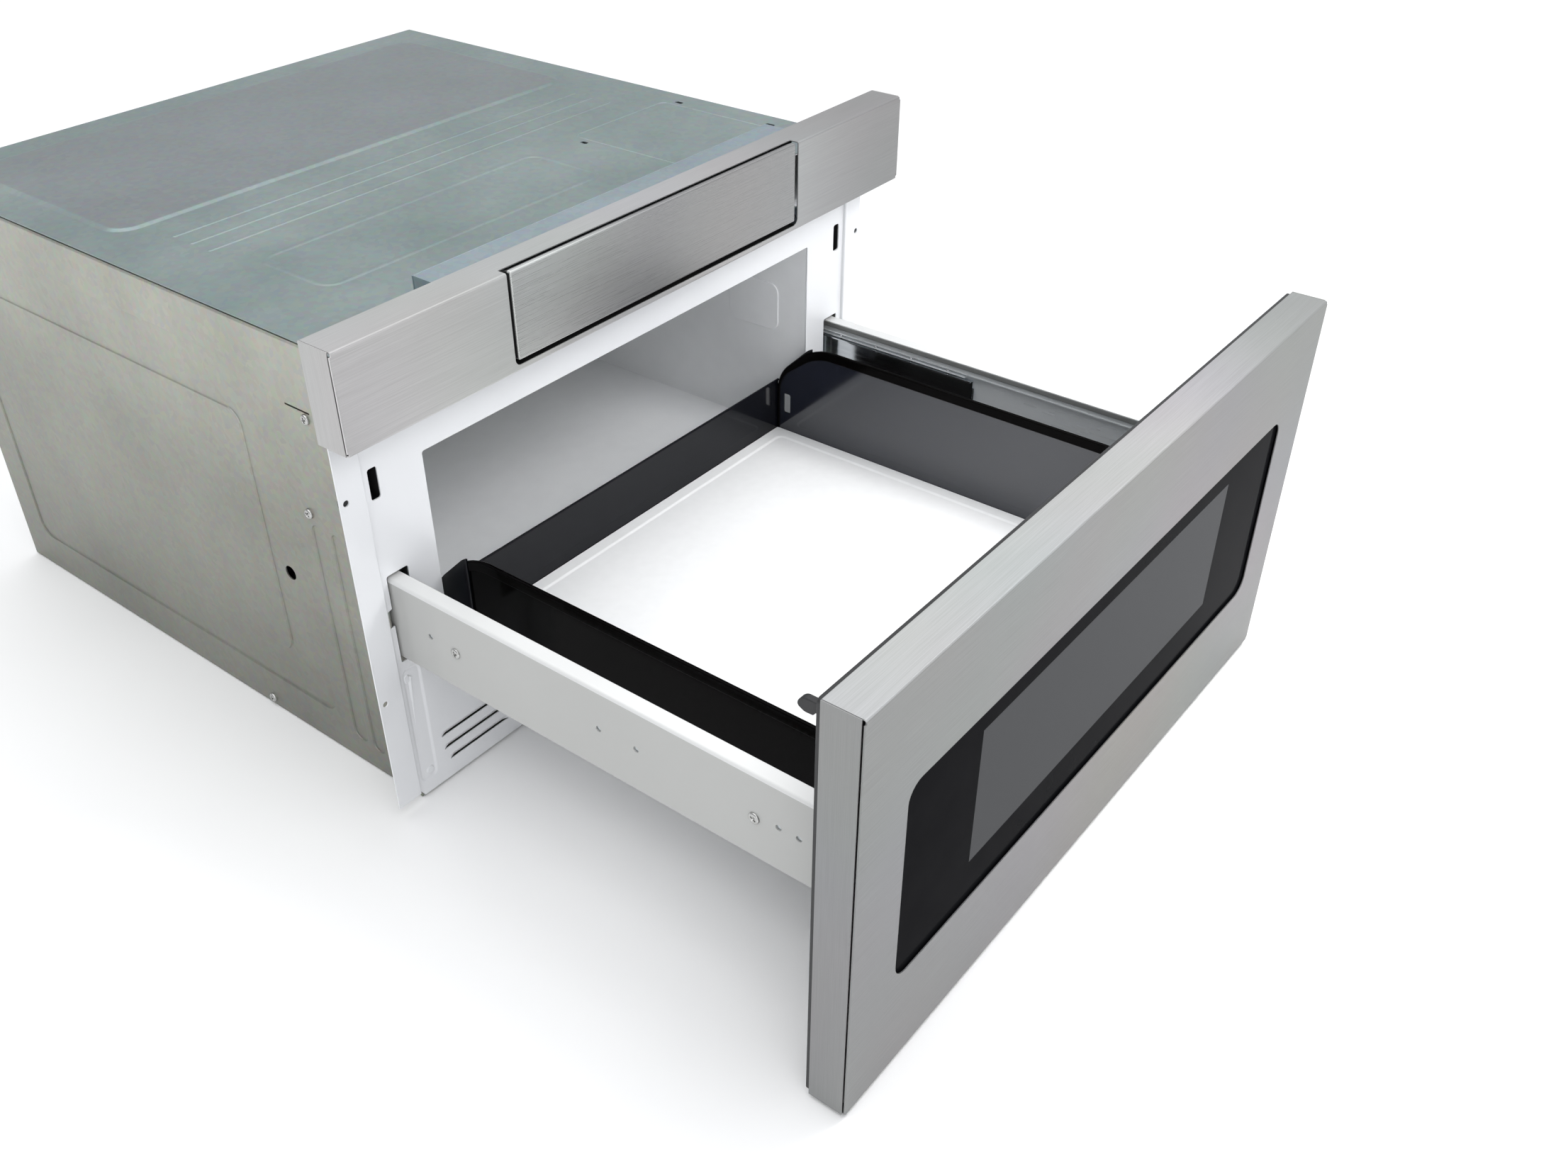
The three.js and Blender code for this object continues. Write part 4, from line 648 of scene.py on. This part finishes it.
cover_zinc = zinc_coated("cover_zinc", ((0.23, 0.29, 0.285), (0.29, 0.345, 0.34)), (0.34, 0.44), 220, 0.7)
cover_pressed = zinc_coated("cover_pressed", ((0.24, 0.27, 0.275), (0.27, 0.3, 0.31)), (0.3, 0.36), 220, 0.7)
FACING_UP = ((1, 0, 0), (0, 1, 0))
RAISED = 1.5
cover_rim = [(-269, 36.6), (-190.6, 36.6), (-190.6, 57.6), (190.6, 57.6), (190.6, 36.6), (269, 36.6),
             (269, 588), (-269, 588)]
cover_frames = [(box(-206, 76, 129, 214, 16), box(-199, 69, 136, 207, 9), 0.5, 3.2),
                (box(126, 246, 90, 218, 10), box(130, 242, 94, 214, 6), 0.45, 1.8)]
cover_slots = [box(118, 122, 193, 200, 1.5), box(248.5, 252.5, 198, 206, 1.5), box(248.5, 252.5, 94, 103, 1.5)]
cover_fields = [(box(-240, 240, 330, 560, 22), RAISED, 6)]
cover_fields += [(box(-215, 215, y, y + 5, 2.4), 0.45, 1.8) for y in (251, 273, 295)]
cover = sheet(cover_rim, cover_slots, cover_fields, cover_frames)
for face in cover.faces:
    face.material_index = int(min(vert.co.z for vert in face.verts) > RAISED - 0.05)
moved(cover, standing(*FACING_UP, (0, FRONT, CASE_TOP)))
make("top_cover_piece", cover, [cover_zinc, cover_pressed], "chassis", "top_cover", 1, 0.2)

# ---------------- base pan and rear panel
# The pan that carries the transformer, the fan and the slide brackets, and the back of the case
# with its air slots and the rubber grommet for the mains lead.

pan_zinc = zinc_coated("pan_zinc", ((0.33, 0.34, 0.32), (0.4, 0.41, 0.39)), (0.4, 0.5), 230)
base = pan((-268.7, 268.7), (FRONT + CASE_FRONT, FRONT + 587.4), (0, 12), (0, 0, 1), 1.2, 3)
make("base_pan_piece", base, pan_zinc, "chassis", "base_pan", 1, 0.2)

FACING_REAR = ((-1, 0, 0), (0, 0, 1))
REAR_FACE = FRONT + 588.7
slot_levels = [192 + 12 * step for step in range(9)]
rear_holes = [box(-220, -120, z - 2.2, z + 2.2, 1.8) for z in slot_levels] + [circle(205, 60, 10)]
rear = sheet(box(-268.5, 268.5, 0.5, 369), rear_holes,
             frames=[(box(-90, 170, 40, 330, 16), box(-60, 140, 70, 300, 12), -0.75, 4)])
moved(rear, standing(*FACING_REAR, (0, REAR_FACE, 0)))
make("rear_panel_piece", rear, pan_zinc, "chassis", "rear_panel", 1, 0.2)
soft_rubber = finish("soft_rubber", ((0.012, 0.012, 0.012), (0.02, 0.02, 0.02)), (0.55, 0.7), (500, 500, 500),
                     relief=0.2)
eased("cord_grommet", soft_rubber, "chassis", 0.5, 3)

# ---------------- cavity
# The oven's white enamelled liner, with a pressing in its right wall and a round hole in its
# ceiling under the stirrer, closed by a thin nylon cover.

liner_enamel = finish("liner_enamel", ((0.83, 0.84, 0.85), (0.85, 0.86, 0.87)), (0.3, 0.36), (60, 60, 60),
                      relief=0.04, depth=0.00004)
eased("cavity_liner", liner_enamel, "chassis", 0.9, 3)
natural_nylon = finish("natural_nylon", ((0.74, 0.72, 0.65), (0.8, 0.785, 0.72)), (0.4, 0.5), (200, 200, 200),
                       relief=0.1, Subsurface_Weight=0.05)
eased("stirrer_cover", natural_nylon, "chassis", 0.4)

# ---------------- tray
# Two sheet steel walls and a back in glossy black enamel, with a hem folded in along the top of each
# wall, round a smooth white ceramic floor with a slightly sunk field.

black_enamel = finish("black_enamel", ((0.0085, 0.0105, 0.019), (0.0105, 0.0125, 0.022)), (0.08, 0.11), (14, 14, 14),
                      IOR=1.62, Specular_IOR_Level=0.7)
# The back, and the outer faces and hems of the walls, take darker, duller copies of the walls' enamel for the shade
# they are in: painted shade.
back_enamel = finish("back_enamel", ((0.004, 0.0045, 0.007), (0.006, 0.0065, 0.009)), (0.08, 0.11), (14, 14, 14),
                     IOR=1.4, Specular_IOR_Level=0.3)
outer_enamel = finish("outer_enamel", ((0.002, 0.0018, 0.0018), (0.003, 0.0026, 0.0026)), (0.1, 0.14), (9, 9, 9),
                      IOR=1.25, Specular_IOR_Level=0.1)
DOOR_FRONT = FRONT - 384         # the door's front face, with the drawer drawn out
TRAY_SIDE = 208
TRAY_FRONT, TRAY_REAR = 27.6, 439                          # behind the door's front face
TRAY_LOW, TRAY_HIGH = 101.5, 200
wall_line = [(TRAY_FRONT, TRAY_LOW), (TRAY_REAR, TRAY_LOW), (TRAY_REAR, 162, 14), (400, TRAY_HIGH, 20),
             (TRAY_FRONT, TRAY_HIGH)]
tray_wall = sheet(wall_line, [box(425, 432, 125, 144, 1.5)])
moved(tray_wall, standing(*FACING_RIGHT, (TRAY_SIDE, DOOR_FRONT, 0)))
inner_line = [(30, 104), (TRAY_REAR - 2.6, 104), (TRAY_REAR - 2.6, 159, 12), (396, 191, 15), (30, 191)]
tray_rim = sheet(wall_line, [inner_line])
moved(tray_rim, standing(*FACING_RIGHT, (TRAY_SIDE + 1, DOOR_FRONT, 0)))
shelf = sheet(box(194, TRAY_SIDE, TRAY_FRONT, TRAY_REAR))
moved(shelf, standing(*FACING_UP, (0, DOOR_FRONT, 102.7)))
tray_left = joined(mirrored(tray_wall), mirrored(shelf))
make("tray_rims", joined(mirrored(tray_rim), tray_rim), outer_enamel, "drawer", (), 3.2, 1.1, 4)
for side, wall in (("right", joined(tray_wall, shelf)), ("left", tray_left)):
    node = "tray_side_" + side
    make(node + "_piece", wall, [outer_enamel, black_enamel], "drawer", node, 1.2, 0.3,
         inner_material=1)
BACK_FACE = DOOR_FRONT + TRAY_REAR + 1.5
back_wall = sheet(box(-207.5, 207.5, TRAY_LOW, 156))
fold(back_wall, (0, 1, 0), 1.1, 0.8, 180, 8)
fold(back_wall, (0, -1, 0), 1.5, 12)
moved(back_wall, standing(*FACING_REAR, (0, BACK_FACE, 0)))
tab = sheet([(402.5, 146.5, 3), (440, 146.5, 3), (440, 161.5, 14), (405, 196.2, 6), (402.5, 196.2, 1)])
moved(tab, standing(*FACING_RIGHT, (TRAY_SIDE + 1.5, DOOR_FRONT, 0)))
back_parts = joined(back_wall, mirrored(tab), tab)
make("tray_back_piece", back_parts, back_enamel, "drawer", "tray_back", 1.2, 0.3)
white_ceramic = finish("white_ceramic", ((0.93, 0.935, 0.94), (0.95, 0.955, 0.96)), (0.2, 0.26), (120, 120, 120),
                       relief=0.05, depth=0.00005)
tray_floor = sheet(box(-206.3, 206.3, 28, 438.8, 1.5), fields=[(box(-196.5, 196.5, 38, 429, 8), -1, 3)])
moved(tray_floor, standing(*FACING_UP, (0, DOOR_FRONT, 107)))
make("tray_floor_piece", tray_floor, white_ceramic, "drawer", "tray_floor", 3.8, 0.7, 3)

# ---------------- door
# A folded steel skin like the band's, with a window of black glass behind it, printed so that only
# its middle can be looked through, on a white painted pan with a perforated screen.

door_front, door_end = folded_front(BAND_HALF, 2.4, 319.5, 27.3, holes=[box(-255.7, 255.7, 82.7, 240.4, 13)])
moved(door_front, standing(*FACING_FRONT, (0, DOOR_FRONT, 0)))
moved(door_end, standing(*FACING_RIGHT, (BAND_HALF, DOOR_FRONT, 0)))
for face in door_front.faces:
    face.material_index = int(face.normal.z > 0.3)
# Painted shade: the door's face and its end plates are the band's steel made much darker; its top takes the tops'
# own tone and its inside the painted shade black.
shaded_door_steel = brushed("shaded_door_steel", ((0.23, 0.228, 0.225), (0.29, 0.288, 0.285)), (0.44, 0.52), 0)
shaded_door_edge = brushed("shaded_door_edge", ((0.26, 0.258, 0.255), (0.3, 0.298, 0.295)), (0.42, 0.52), 2)
make("door_front", door_front, [shaded_door_steel, top_shading_steel, painted_shade_black], "drawer", "door_skin",
     1, 0.2, inner_material=2)
make("door_ends", joined(mirrored(door_end), door_end), shaded_door_edge, "drawer", (), 1, 0.2)

window_glass = finish("window_glass", ((0.005, 0.005, 0.006), (0.007, 0.007, 0.008)), (0.08, 0.1), (30, 30, 30),
                      IOR=1.13, Specular_IOR_Level=0.03)
nodes, links = window_glass.node_tree.nodes, window_glass.node_tree.links
apart = nodes.new("ShaderNodeSeparateXYZ")
links.new(nodes["Texture Coordinate"].outputs["Object"], apart.inputs["Vector"])


def within(axis, low, high):
    """1 between two levels along an axis and 0 beyond them."""
    middle = reckoned(nodes, "SUBTRACT", (low + high) / 2)
    distance = reckoned(nodes, "ABSOLUTE")
    inside = reckoned(nodes, "LESS_THAN", (high - low) / 2)
    links.new(apart.outputs[axis], middle.inputs[0])
    links.new(middle.outputs[0], distance.inputs[0])
    links.new(distance.outputs[0], inside.inputs[0])
    return inside.outputs[0]


view_area = reckoned(nodes, "MULTIPLY")
links.new(within("X", -0.172, 0.172), view_area.inputs[0])
links.new(within("Z", 0.115, 0.223), view_area.inputs[1])
print_tone = nodes.new("ShaderNodeMix")
print_tone.data_type = "RGBA"
print_tone.inputs["B"].default_value = (0.082, 0.083, 0.086, 1)
links.new(view_area.outputs[0], print_tone.inputs["Factor"])
links.new(nodes["tones"].outputs["Color"], print_tone.inputs["A"])
links.new(print_tone.outputs["Result"], nodes["Principled BSDF"].inputs["Base Color"])
ground_edge = finish("ground_edge", ((0.3, 0.31, 0.32), (0.42, 0.43, 0.44)), (0.2, 0.3), (200, 200, 200))
pane = bmesh.new()
pane_face = pane.faces.new([pane.verts.new((u, v, 0)) for u, v in outline(box(-253.4, 253.4, 85, 238.1, 11.5))])
if pane_face.normal.z < 0:
    pane_face.normal_flip()
raised = bmesh.ops.inset_region(pane, faces=[pane_face], thickness=0.7, depth=0.6, use_boundary=True,
                                use_even_offset=True)
for face in raised["faces"]:
    face.material_index = 1
rim = [edge for edge in pane.edges if edge.is_boundary]
bmesh.ops.triangle_fill(pane, edges=rim + ring(pane, outline(box(-265.7, 265.7, 72.7, 250.4, 3))),
                        use_beauty=True, normal=(0, 0, 1))
face_up(pane)
moved(pane, standing(*FACING_FRONT, (0, DOOR_FRONT + 2.2, 0)))
make("window_pane", pane, [window_glass, ground_edge], "drawer", "door_glass", 2.2)
eased("door_frame", white_paint, "drawer", 0.8, 3)
screen_black = finish("screen_black", ((0.008, 0.008, 0.009), (0.03, 0.03, 0.032)), (0.35, 0.5), (700, 700, 700),
                      relief=0.5, depth=0.0002, detail=0)
eased("door_screen", screen_black, "drawer", 0.1)
eased("choke_cover", black_plastic, "drawer", 0.5)

HOOK_THICKNESS = 5
HOOK_SIDE = 261


def latch_hook(reach, top):
    """A latch hook on its foot plate: it reaches back from the door and its nose points down."""
    hook = bmesh.new()
    nose = [(29, 271), (reach - 12, 271), (reach - 11, 268.6, 0.8), (reach - 5, 268.3, 1.5), (reach, 271, 1.5),
            (reach, top - 4, 2), (reach - 4, top, 2), (29, top)]
    drawn = bmesh.ops.extrude_face_region(hook, geom=[hook.faces.new(
        [hook.verts.new((u, v, 0)) for u, v in outline(nose, 3)])])
    bmesh.ops.translate(hook, vec=(0, 0, HOOK_THICKNESS), verts=drawn_verts(drawn))
    foot_plate = bmesh.new()
    bmesh.ops.create_cube(foot_plate, size=1)
    bmesh.ops.scale(foot_plate, vec=(2.4, 26, 11.5), verts=foot_plate.verts)
    bmesh.ops.translate(foot_plate, vec=(31.8, 275, 0.75), verts=foot_plate.verts)
    whole = joined(hook, foot_plate)
    bmesh.ops.recalc_face_normals(whole, faces=whole.faces)
    return moved(whole, standing(*FACING_RIGHT, (HOOK_SIDE, DOOR_FRONT, 0)))


for side, hook in (("right", latch_hook(58, 275)), ("left", mirrored(latch_hook(68.3, 278.5)))):
    node = "latch_hook_" + side
    make(node + "_piece", hook, black_plastic, "drawer", node, 0, 0.7, 3)

# ---------------- drawer channels and slides
# Light grey painted channels, their top edges folded in, each carrying a three-part telescopic
# slide of zinc-plated steel, its middle member drawn bright, with its balls in two pressed cages.

channel_grey = finish("channel_grey", ((0.43, 0.433, 0.42), (0.445, 0.448, 0.435)), (0.3, 0.34), (8, 8, 8),
                      Coat_Weight=0.3, Coat_Roughness=0.12)
lit_channel_rim = finish("lit_channel_rim", ((0.66, 0.665, 0.66), (0.7, 0.705, 0.7)), (0.28, 0.32), (8, 8, 8),
                     Coat_Weight=0.3, Coat_Roughness=0.12)
SLIDE_LEVEL = 170.5              # the middle line of the slides
CHANNEL_FACE, CHANNEL_TOP, CHANNEL_REAR = 266, 200.5, 470
web = sheet(box(30.6, CHANNEL_REAR, 136, CHANNEL_TOP),
            [circle(y, SLIDE_LEVEL, 2.2, 16) for y in (382, 224, 192, 80, 65)])
fold(web, (0, 1, 0), 2.5, 9.5)
# The folded top lip takes a lighter tone than the web of the same paint: a painted highlight.
for face in web.faces:
    face.material_index = int(max(vert.co.y for vert in face.verts) > CHANNEL_TOP + 0.5)
moved(web, standing(*FACING_RIGHT, (CHANNEL_FACE, DOOR_FRONT, 0)))
front_tab = sheet(box(236, 265, 140, 200))
moved(front_tab, standing(*FACING_FRONT, (0, DOOR_FRONT + 30.7, 0)))
channel_left = joined(mirrored(web), mirrored(front_tab))
for side, channel in (("right", joined(web, front_tab)), ("left", channel_left)):
    node = "drawer_channel_" + side
    make("channel_" + side, channel, [channel_grey, lit_channel_rim], "drawer", node, 1.2, 0.25)

FACING_LEFT = ((0, -1, 0), (0, 0, 1))
bright_zinc = finish("bright_zinc", ((0.84, 0.88, 0.9), (0.93, 0.96, 0.98)), (0.24, 0.3), (60, 6, 60),
                     metallic=0.2)
drawn_steel = finish("drawn_steel", ((0.72, 0.75, 0.78), (0.86, 0.89, 0.91)), (0.1, 0.16), (300, 4, 300),
                     metallic=1)
ball_steel = finish("ball_steel", ((0.6, 0.6, 0.61), (0.68, 0.68, 0.69)), (0.06, 0.1), (300, 300, 300), metallic=1)


def slide_member(depth, from_y, to_y, half, radius, holes):
    """A drawn slide member: its web with holes, both edges rolled over to hold the balls."""
    member = sheet(box(from_y, to_y, SLIDE_LEVEL - half + radius, SLIDE_LEVEL + half - radius), holes)
    for towards in (1, -1):
        fold(member, (0, towards, 0), radius, depth - radius, 90, 6)
    return member


def end_tab(y, half, lip):
    """The bent-over end of a slide's web."""
    tab = sheet(box(y, y + 0.6, SLIDE_LEVEL - half, SLIDE_LEVEL + half))
    fold(tab, (-1, 0, 0), 1.3, lip)
    return tab


def ball_row(x, ys, z, radius=1.95):
    """Steel balls along one race."""
    row = bmesh.new()
    for y in ys:
        ball = bmesh.ops.create_uvsphere(row, u_segments=24, v_segments=14, radius=radius)
        bmesh.ops.translate(row, verts=ball["verts"], vec=(x, y, z))
    return row


def pair(name, bm, body, stands_for, material=None, thickness=1.2, ease=0.15):
    """The right-hand piece and its mirror image on the left."""
    for side, part in (("right", bm.copy()), ("left", mirrored(bm))):
        carried = body if body in ("drawer", "chassis") else body + "_" + side
        make(name + "_" + side, part, material or bright_zinc, carried, stands_for and stands_for + "_" + side,
             thickness, ease, 2, 50)
    bm.free()


# How far from the middle plane each member's web stands.
OUTER_WEB, MIDDLE_WEB, FIXED_WEB = 264.3, 261.6, 253.1
outer_member = slide_member(7.7, 35, CHANNEL_REAR, 22.5, 2.5,
                            [box(y - 6, y + 6, 168, 173, 2.1) for y in (290, 430)]
                            + [circle(y, SLIDE_LEVEL, 2.3, 16) for y in (98, 356)])
moved(outer_member, standing(*FACING_RIGHT, (OUTER_WEB, DOOR_FRONT, 0)))
pair("drawer_member", outer_member, "drawer", "slide_drawer")
middle_member = slide_member(6.1, 267, 677, 16.9, 2.2,
                             [box(y - 9, y + 9, 166.5, 174.5, 3.9) for y in (470, 610)])
moved(middle_member, standing(*FACING_RIGHT, (MIDDLE_WEB, DOOR_FRONT, 0)))
pair("middle_member", middle_member, "middle", "slide_middle", drawn_steel)
stop_tab = moved(end_tab(266.3, 9, 0.4), standing(*FACING_RIGHT, (MIDDLE_WEB, DOOR_FRONT, 0)))
pair("middle_stop", stop_tab, "middle", "", drawn_steel, 0.9, 0.1)
fixed_member = slide_member(5.4, 45, 485, 11.3, 1.6,
                            [box(y - 4.6, y + 4.6, 168.2, 172.8, 1.9) for y in (90, 265, 440)])
moved(fixed_member, standing(*FACING_LEFT, (FIXED_WEB, 0, 0)))
bmesh.ops.scale(fixed_member, vec=(1, -1, 1), verts=fixed_member.verts)
bmesh.ops.reverse_faces(fixed_member, faces=fixed_member.faces)
bmesh.ops.translate(fixed_member, vec=(0, FRONT, 0), verts=fixed_member.verts)
pair("fixed_member", fixed_member, "chassis", "slide_fixed")

cages = (("outer_ball_cage", "outer_cage", -422.8, -232.8, 262.5, 258.9, 19.1, 6.4),
         ("inner_ball_cage", "inner_cage", -242.8, -42.8, 259.8, 257.6, 13.5, 5))
for node, body, front_end, rear_end, web_x, ball_x, race, depth in cages:
    pitch = (rear_end - front_end) / 5
    ball_ys = [front_end + pitch * (number + 0.5) for number in range(5)]
    cage = slide_member(depth, front_end, rear_end, race, 1.3,
                        [box(y - 12, y + 12, 164, 177, 3) for y in ball_ys])
    pair(node + "_strip", moved(cage, standing(*FACING_RIGHT, (web_x, 0, 0))), body, node, None, 0.7, 0.1)
    balls = joined(ball_row(ball_x, ball_ys, SLIDE_LEVEL + race), ball_row(ball_x, ball_ys, SLIDE_LEVEL - race))
    pair(node + "_balls", balls, body, "", ball_steel, 0, 0)

# ---------------- screws
# Nickel-plated pan-head screws with a cross recess: three on each side of the case, two on each
# drawer channel, and a row round the back.

nickel = finish("nickel", ((0.42, 0.42, 0.41), (0.55, 0.55, 0.54)), (0.1, 0.18), (500, 500, 500), metallic=1,
                relief=0.1)


def pan_head(radius, height, turn):
    """A pan-head screw, its head's underside at level 0, with a cross recess in its top."""
    bm = bmesh.new()
    edge = [(radius, 0), (radius, height * 0.35), (radius * 0.93, height * 0.7), (radius * 0.78, height * 0.92),
            (radius * 0.64, height)]
    verts = [bm.verts.new((r, 0, z)) for r, z in edge]
    line = [bm.edges.new(pair) for pair in zip(verts, verts[1:])]
    bmesh.ops.spin(bm, geom=verts + line, cent=(0, 0, 0), axis=(0, 0, 1), angle=2 * math.pi, steps=24,
                   use_merge=True)
    arm, reach = radius * 0.15, radius * 0.55
    cross = [(arm, arm), (arm, reach), (-arm, reach), (-arm, arm), (-reach, arm), (-reach, -arm), (-arm, -arm),
             (-arm, -reach), (arm, -reach), (arm, -arm), (reach, -arm), (reach, arm)]
    top = [edge for edge in bm.edges if all(abs(vert.co.z - height) < 1e-4 for vert in edge.verts)]
    mouth = ring(bm, cross, height)
    bottom = ring(bm, [(u * 0.6, v * 0.6) for u, v in cross], height * 0.12)
    bmesh.ops.triangle_fill(bm, edges=top + mouth, use_beauty=True, normal=(0, 0, 1))
    bmesh.ops.bridge_loops(bm, edges=mouth + bottom)
    bmesh.ops.edgeloop_fill(bm, edges=bottom)
    bmesh.ops.edgeloop_fill(bm, edges=[edge for edge in bm.edges if all(vert.co.z == 0 for vert in edge.verts)])
    bmesh.ops.remove_doubles(bm, verts=bm.verts, dist=0.0005)
    bmesh.ops.recalc_face_normals(bm, faces=bm.faces)
    bmesh.ops.rotate(bm, verts=bm.verts, cent=(0, 0, 0), matrix=Matrix.Rotation(turn, 3, "Z"))
    return bm


def screws(name, body, facing, places, radius, height):
    """Like screws standing on a surface at the places given, each recess turned its own way."""
    heads = [moved(pan_head(radius, height, 0.3 + 0.7 * number), standing(*facing, place))
             for number, place in enumerate(places)]
    make(name, joined(*heads), nickel, body, (), 0, 0.12, 1, 40)


side_groups = (("side_screws_", "chassis", CASE_HALF, FRONT, [(88, 312.6), (107.4, 231.1), (218.4, 7.2)], 4, 2.2),
               ("rail_screws_", "drawer", CHANNEL_FACE, DOOR_FRONT, [(356.7, 168), (98, 168)], 4.2, 1.6))
for name, body, x, front, places, radius, height in side_groups:
    screws(name + "left", body, FACING_LEFT, [(-x, front + y, z) for y, z in places], radius, height)
    screws(name + "right", body, FACING_RIGHT, [(x, front + y, z) for y, z in places], radius, height)
rear_places = [(x, REAR_FACE, z) for z in (8, 361) for x in (-255, -90, 90, 255)]
screws("rear_screws", "chassis", FACING_REAR, rear_places, 3.4, 1.4)

# ---------------- drive and inner parts
# The rack and pinion drive under the left slide and everything that works inside the closed case,
# each with the finish of what it is made of, but for the latch switches, whose black is painted shade.

laminations = finish("laminations", ((0.05, 0.055, 0.06), (0.11, 0.115, 0.12)), (0.35, 0.5), (30, 1500, 30),
                     metallic=0.6, relief=0.4, depth=0.0001)
copper_winding = finish("copper_winding", ((0.28, 0.09, 0.03), (0.45, 0.17, 0.06)), (0.25, 0.35), (20, 20, 900),
                        metallic=0.6, relief=0.6, depth=0.0003, Coat_Weight=0.5)
mill_aluminium = finish("mill_aluminium", ((0.62, 0.63, 0.64), (0.72, 0.73, 0.74)), (0.3, 0.42), (60, 900, 900),
                        metallic=1, relief=0.15)
board_green = finish("board_green", ((0.012, 0.08, 0.035), (0.02, 0.13, 0.055)), (0.3, 0.42), (250, 250, 250),
                     relief=0.15, Coat_Weight=0.3)
lamp_glass = finish("lamp_glass", ((0.8, 0.78, 0.7), (0.88, 0.86, 0.8)), (0.08, 0.14), (60, 60, 60),
                    Transmission_Weight=0.4)
inner_parts = {
    "control_board": (board_green, "chassis", "circuit_board"),
    "panel_motor": (black_plastic, "chassis", "black_plastic"),
    "waveguide": (pan_zinc, "chassis", "galvanised"),
    "stirrer_motor": (natural_nylon, "chassis", "natural_plastic"),
    "magnetron": (mill_aluminium, "chassis", "aluminium"),
    "transformer_core": (laminations, "chassis", "laminations"),
    "transformer_coil": (copper_winding, "chassis", "winding"),
    "capacitor": (mill_aluminium, "chassis", "aluminium"),
    "fan_shroud": (black_plastic, "chassis", "black_plastic"),
    "fan_motor": (laminations, "chassis", "laminations"),
    "oven_lamp": (lamp_glass, "chassis", "lamp_glass"),
    # The latch switches are black so that the pockets seen through the latch slots read dark: painted shade.
    "latch_switch_right": (black_plastic, "chassis", "black_plastic"),
    "latch_switch_left": (black_plastic, "chassis", "black_plastic"),
    "slide_bracket_right": (pan_zinc, "chassis", "galvanised"),
    "slide_bracket_left": (pan_zinc, "chassis", "galvanised"),
    "drive_motor": (black_plastic, "chassis", "black_plastic"),
    "drive_rack": (natural_nylon, "drawer", "natural_plastic"),
    "drive_pinion": (natural_nylon, "pinion", "natural_plastic"),
    "fan_blade": (black_plastic, "fan", "black_plastic"),
    "stirrer": (mill_aluminium, "stirrer", "aluminium"),
}
for node, (material, body, slot) in inner_parts.items():
    eased(node, material, body, 0.3)
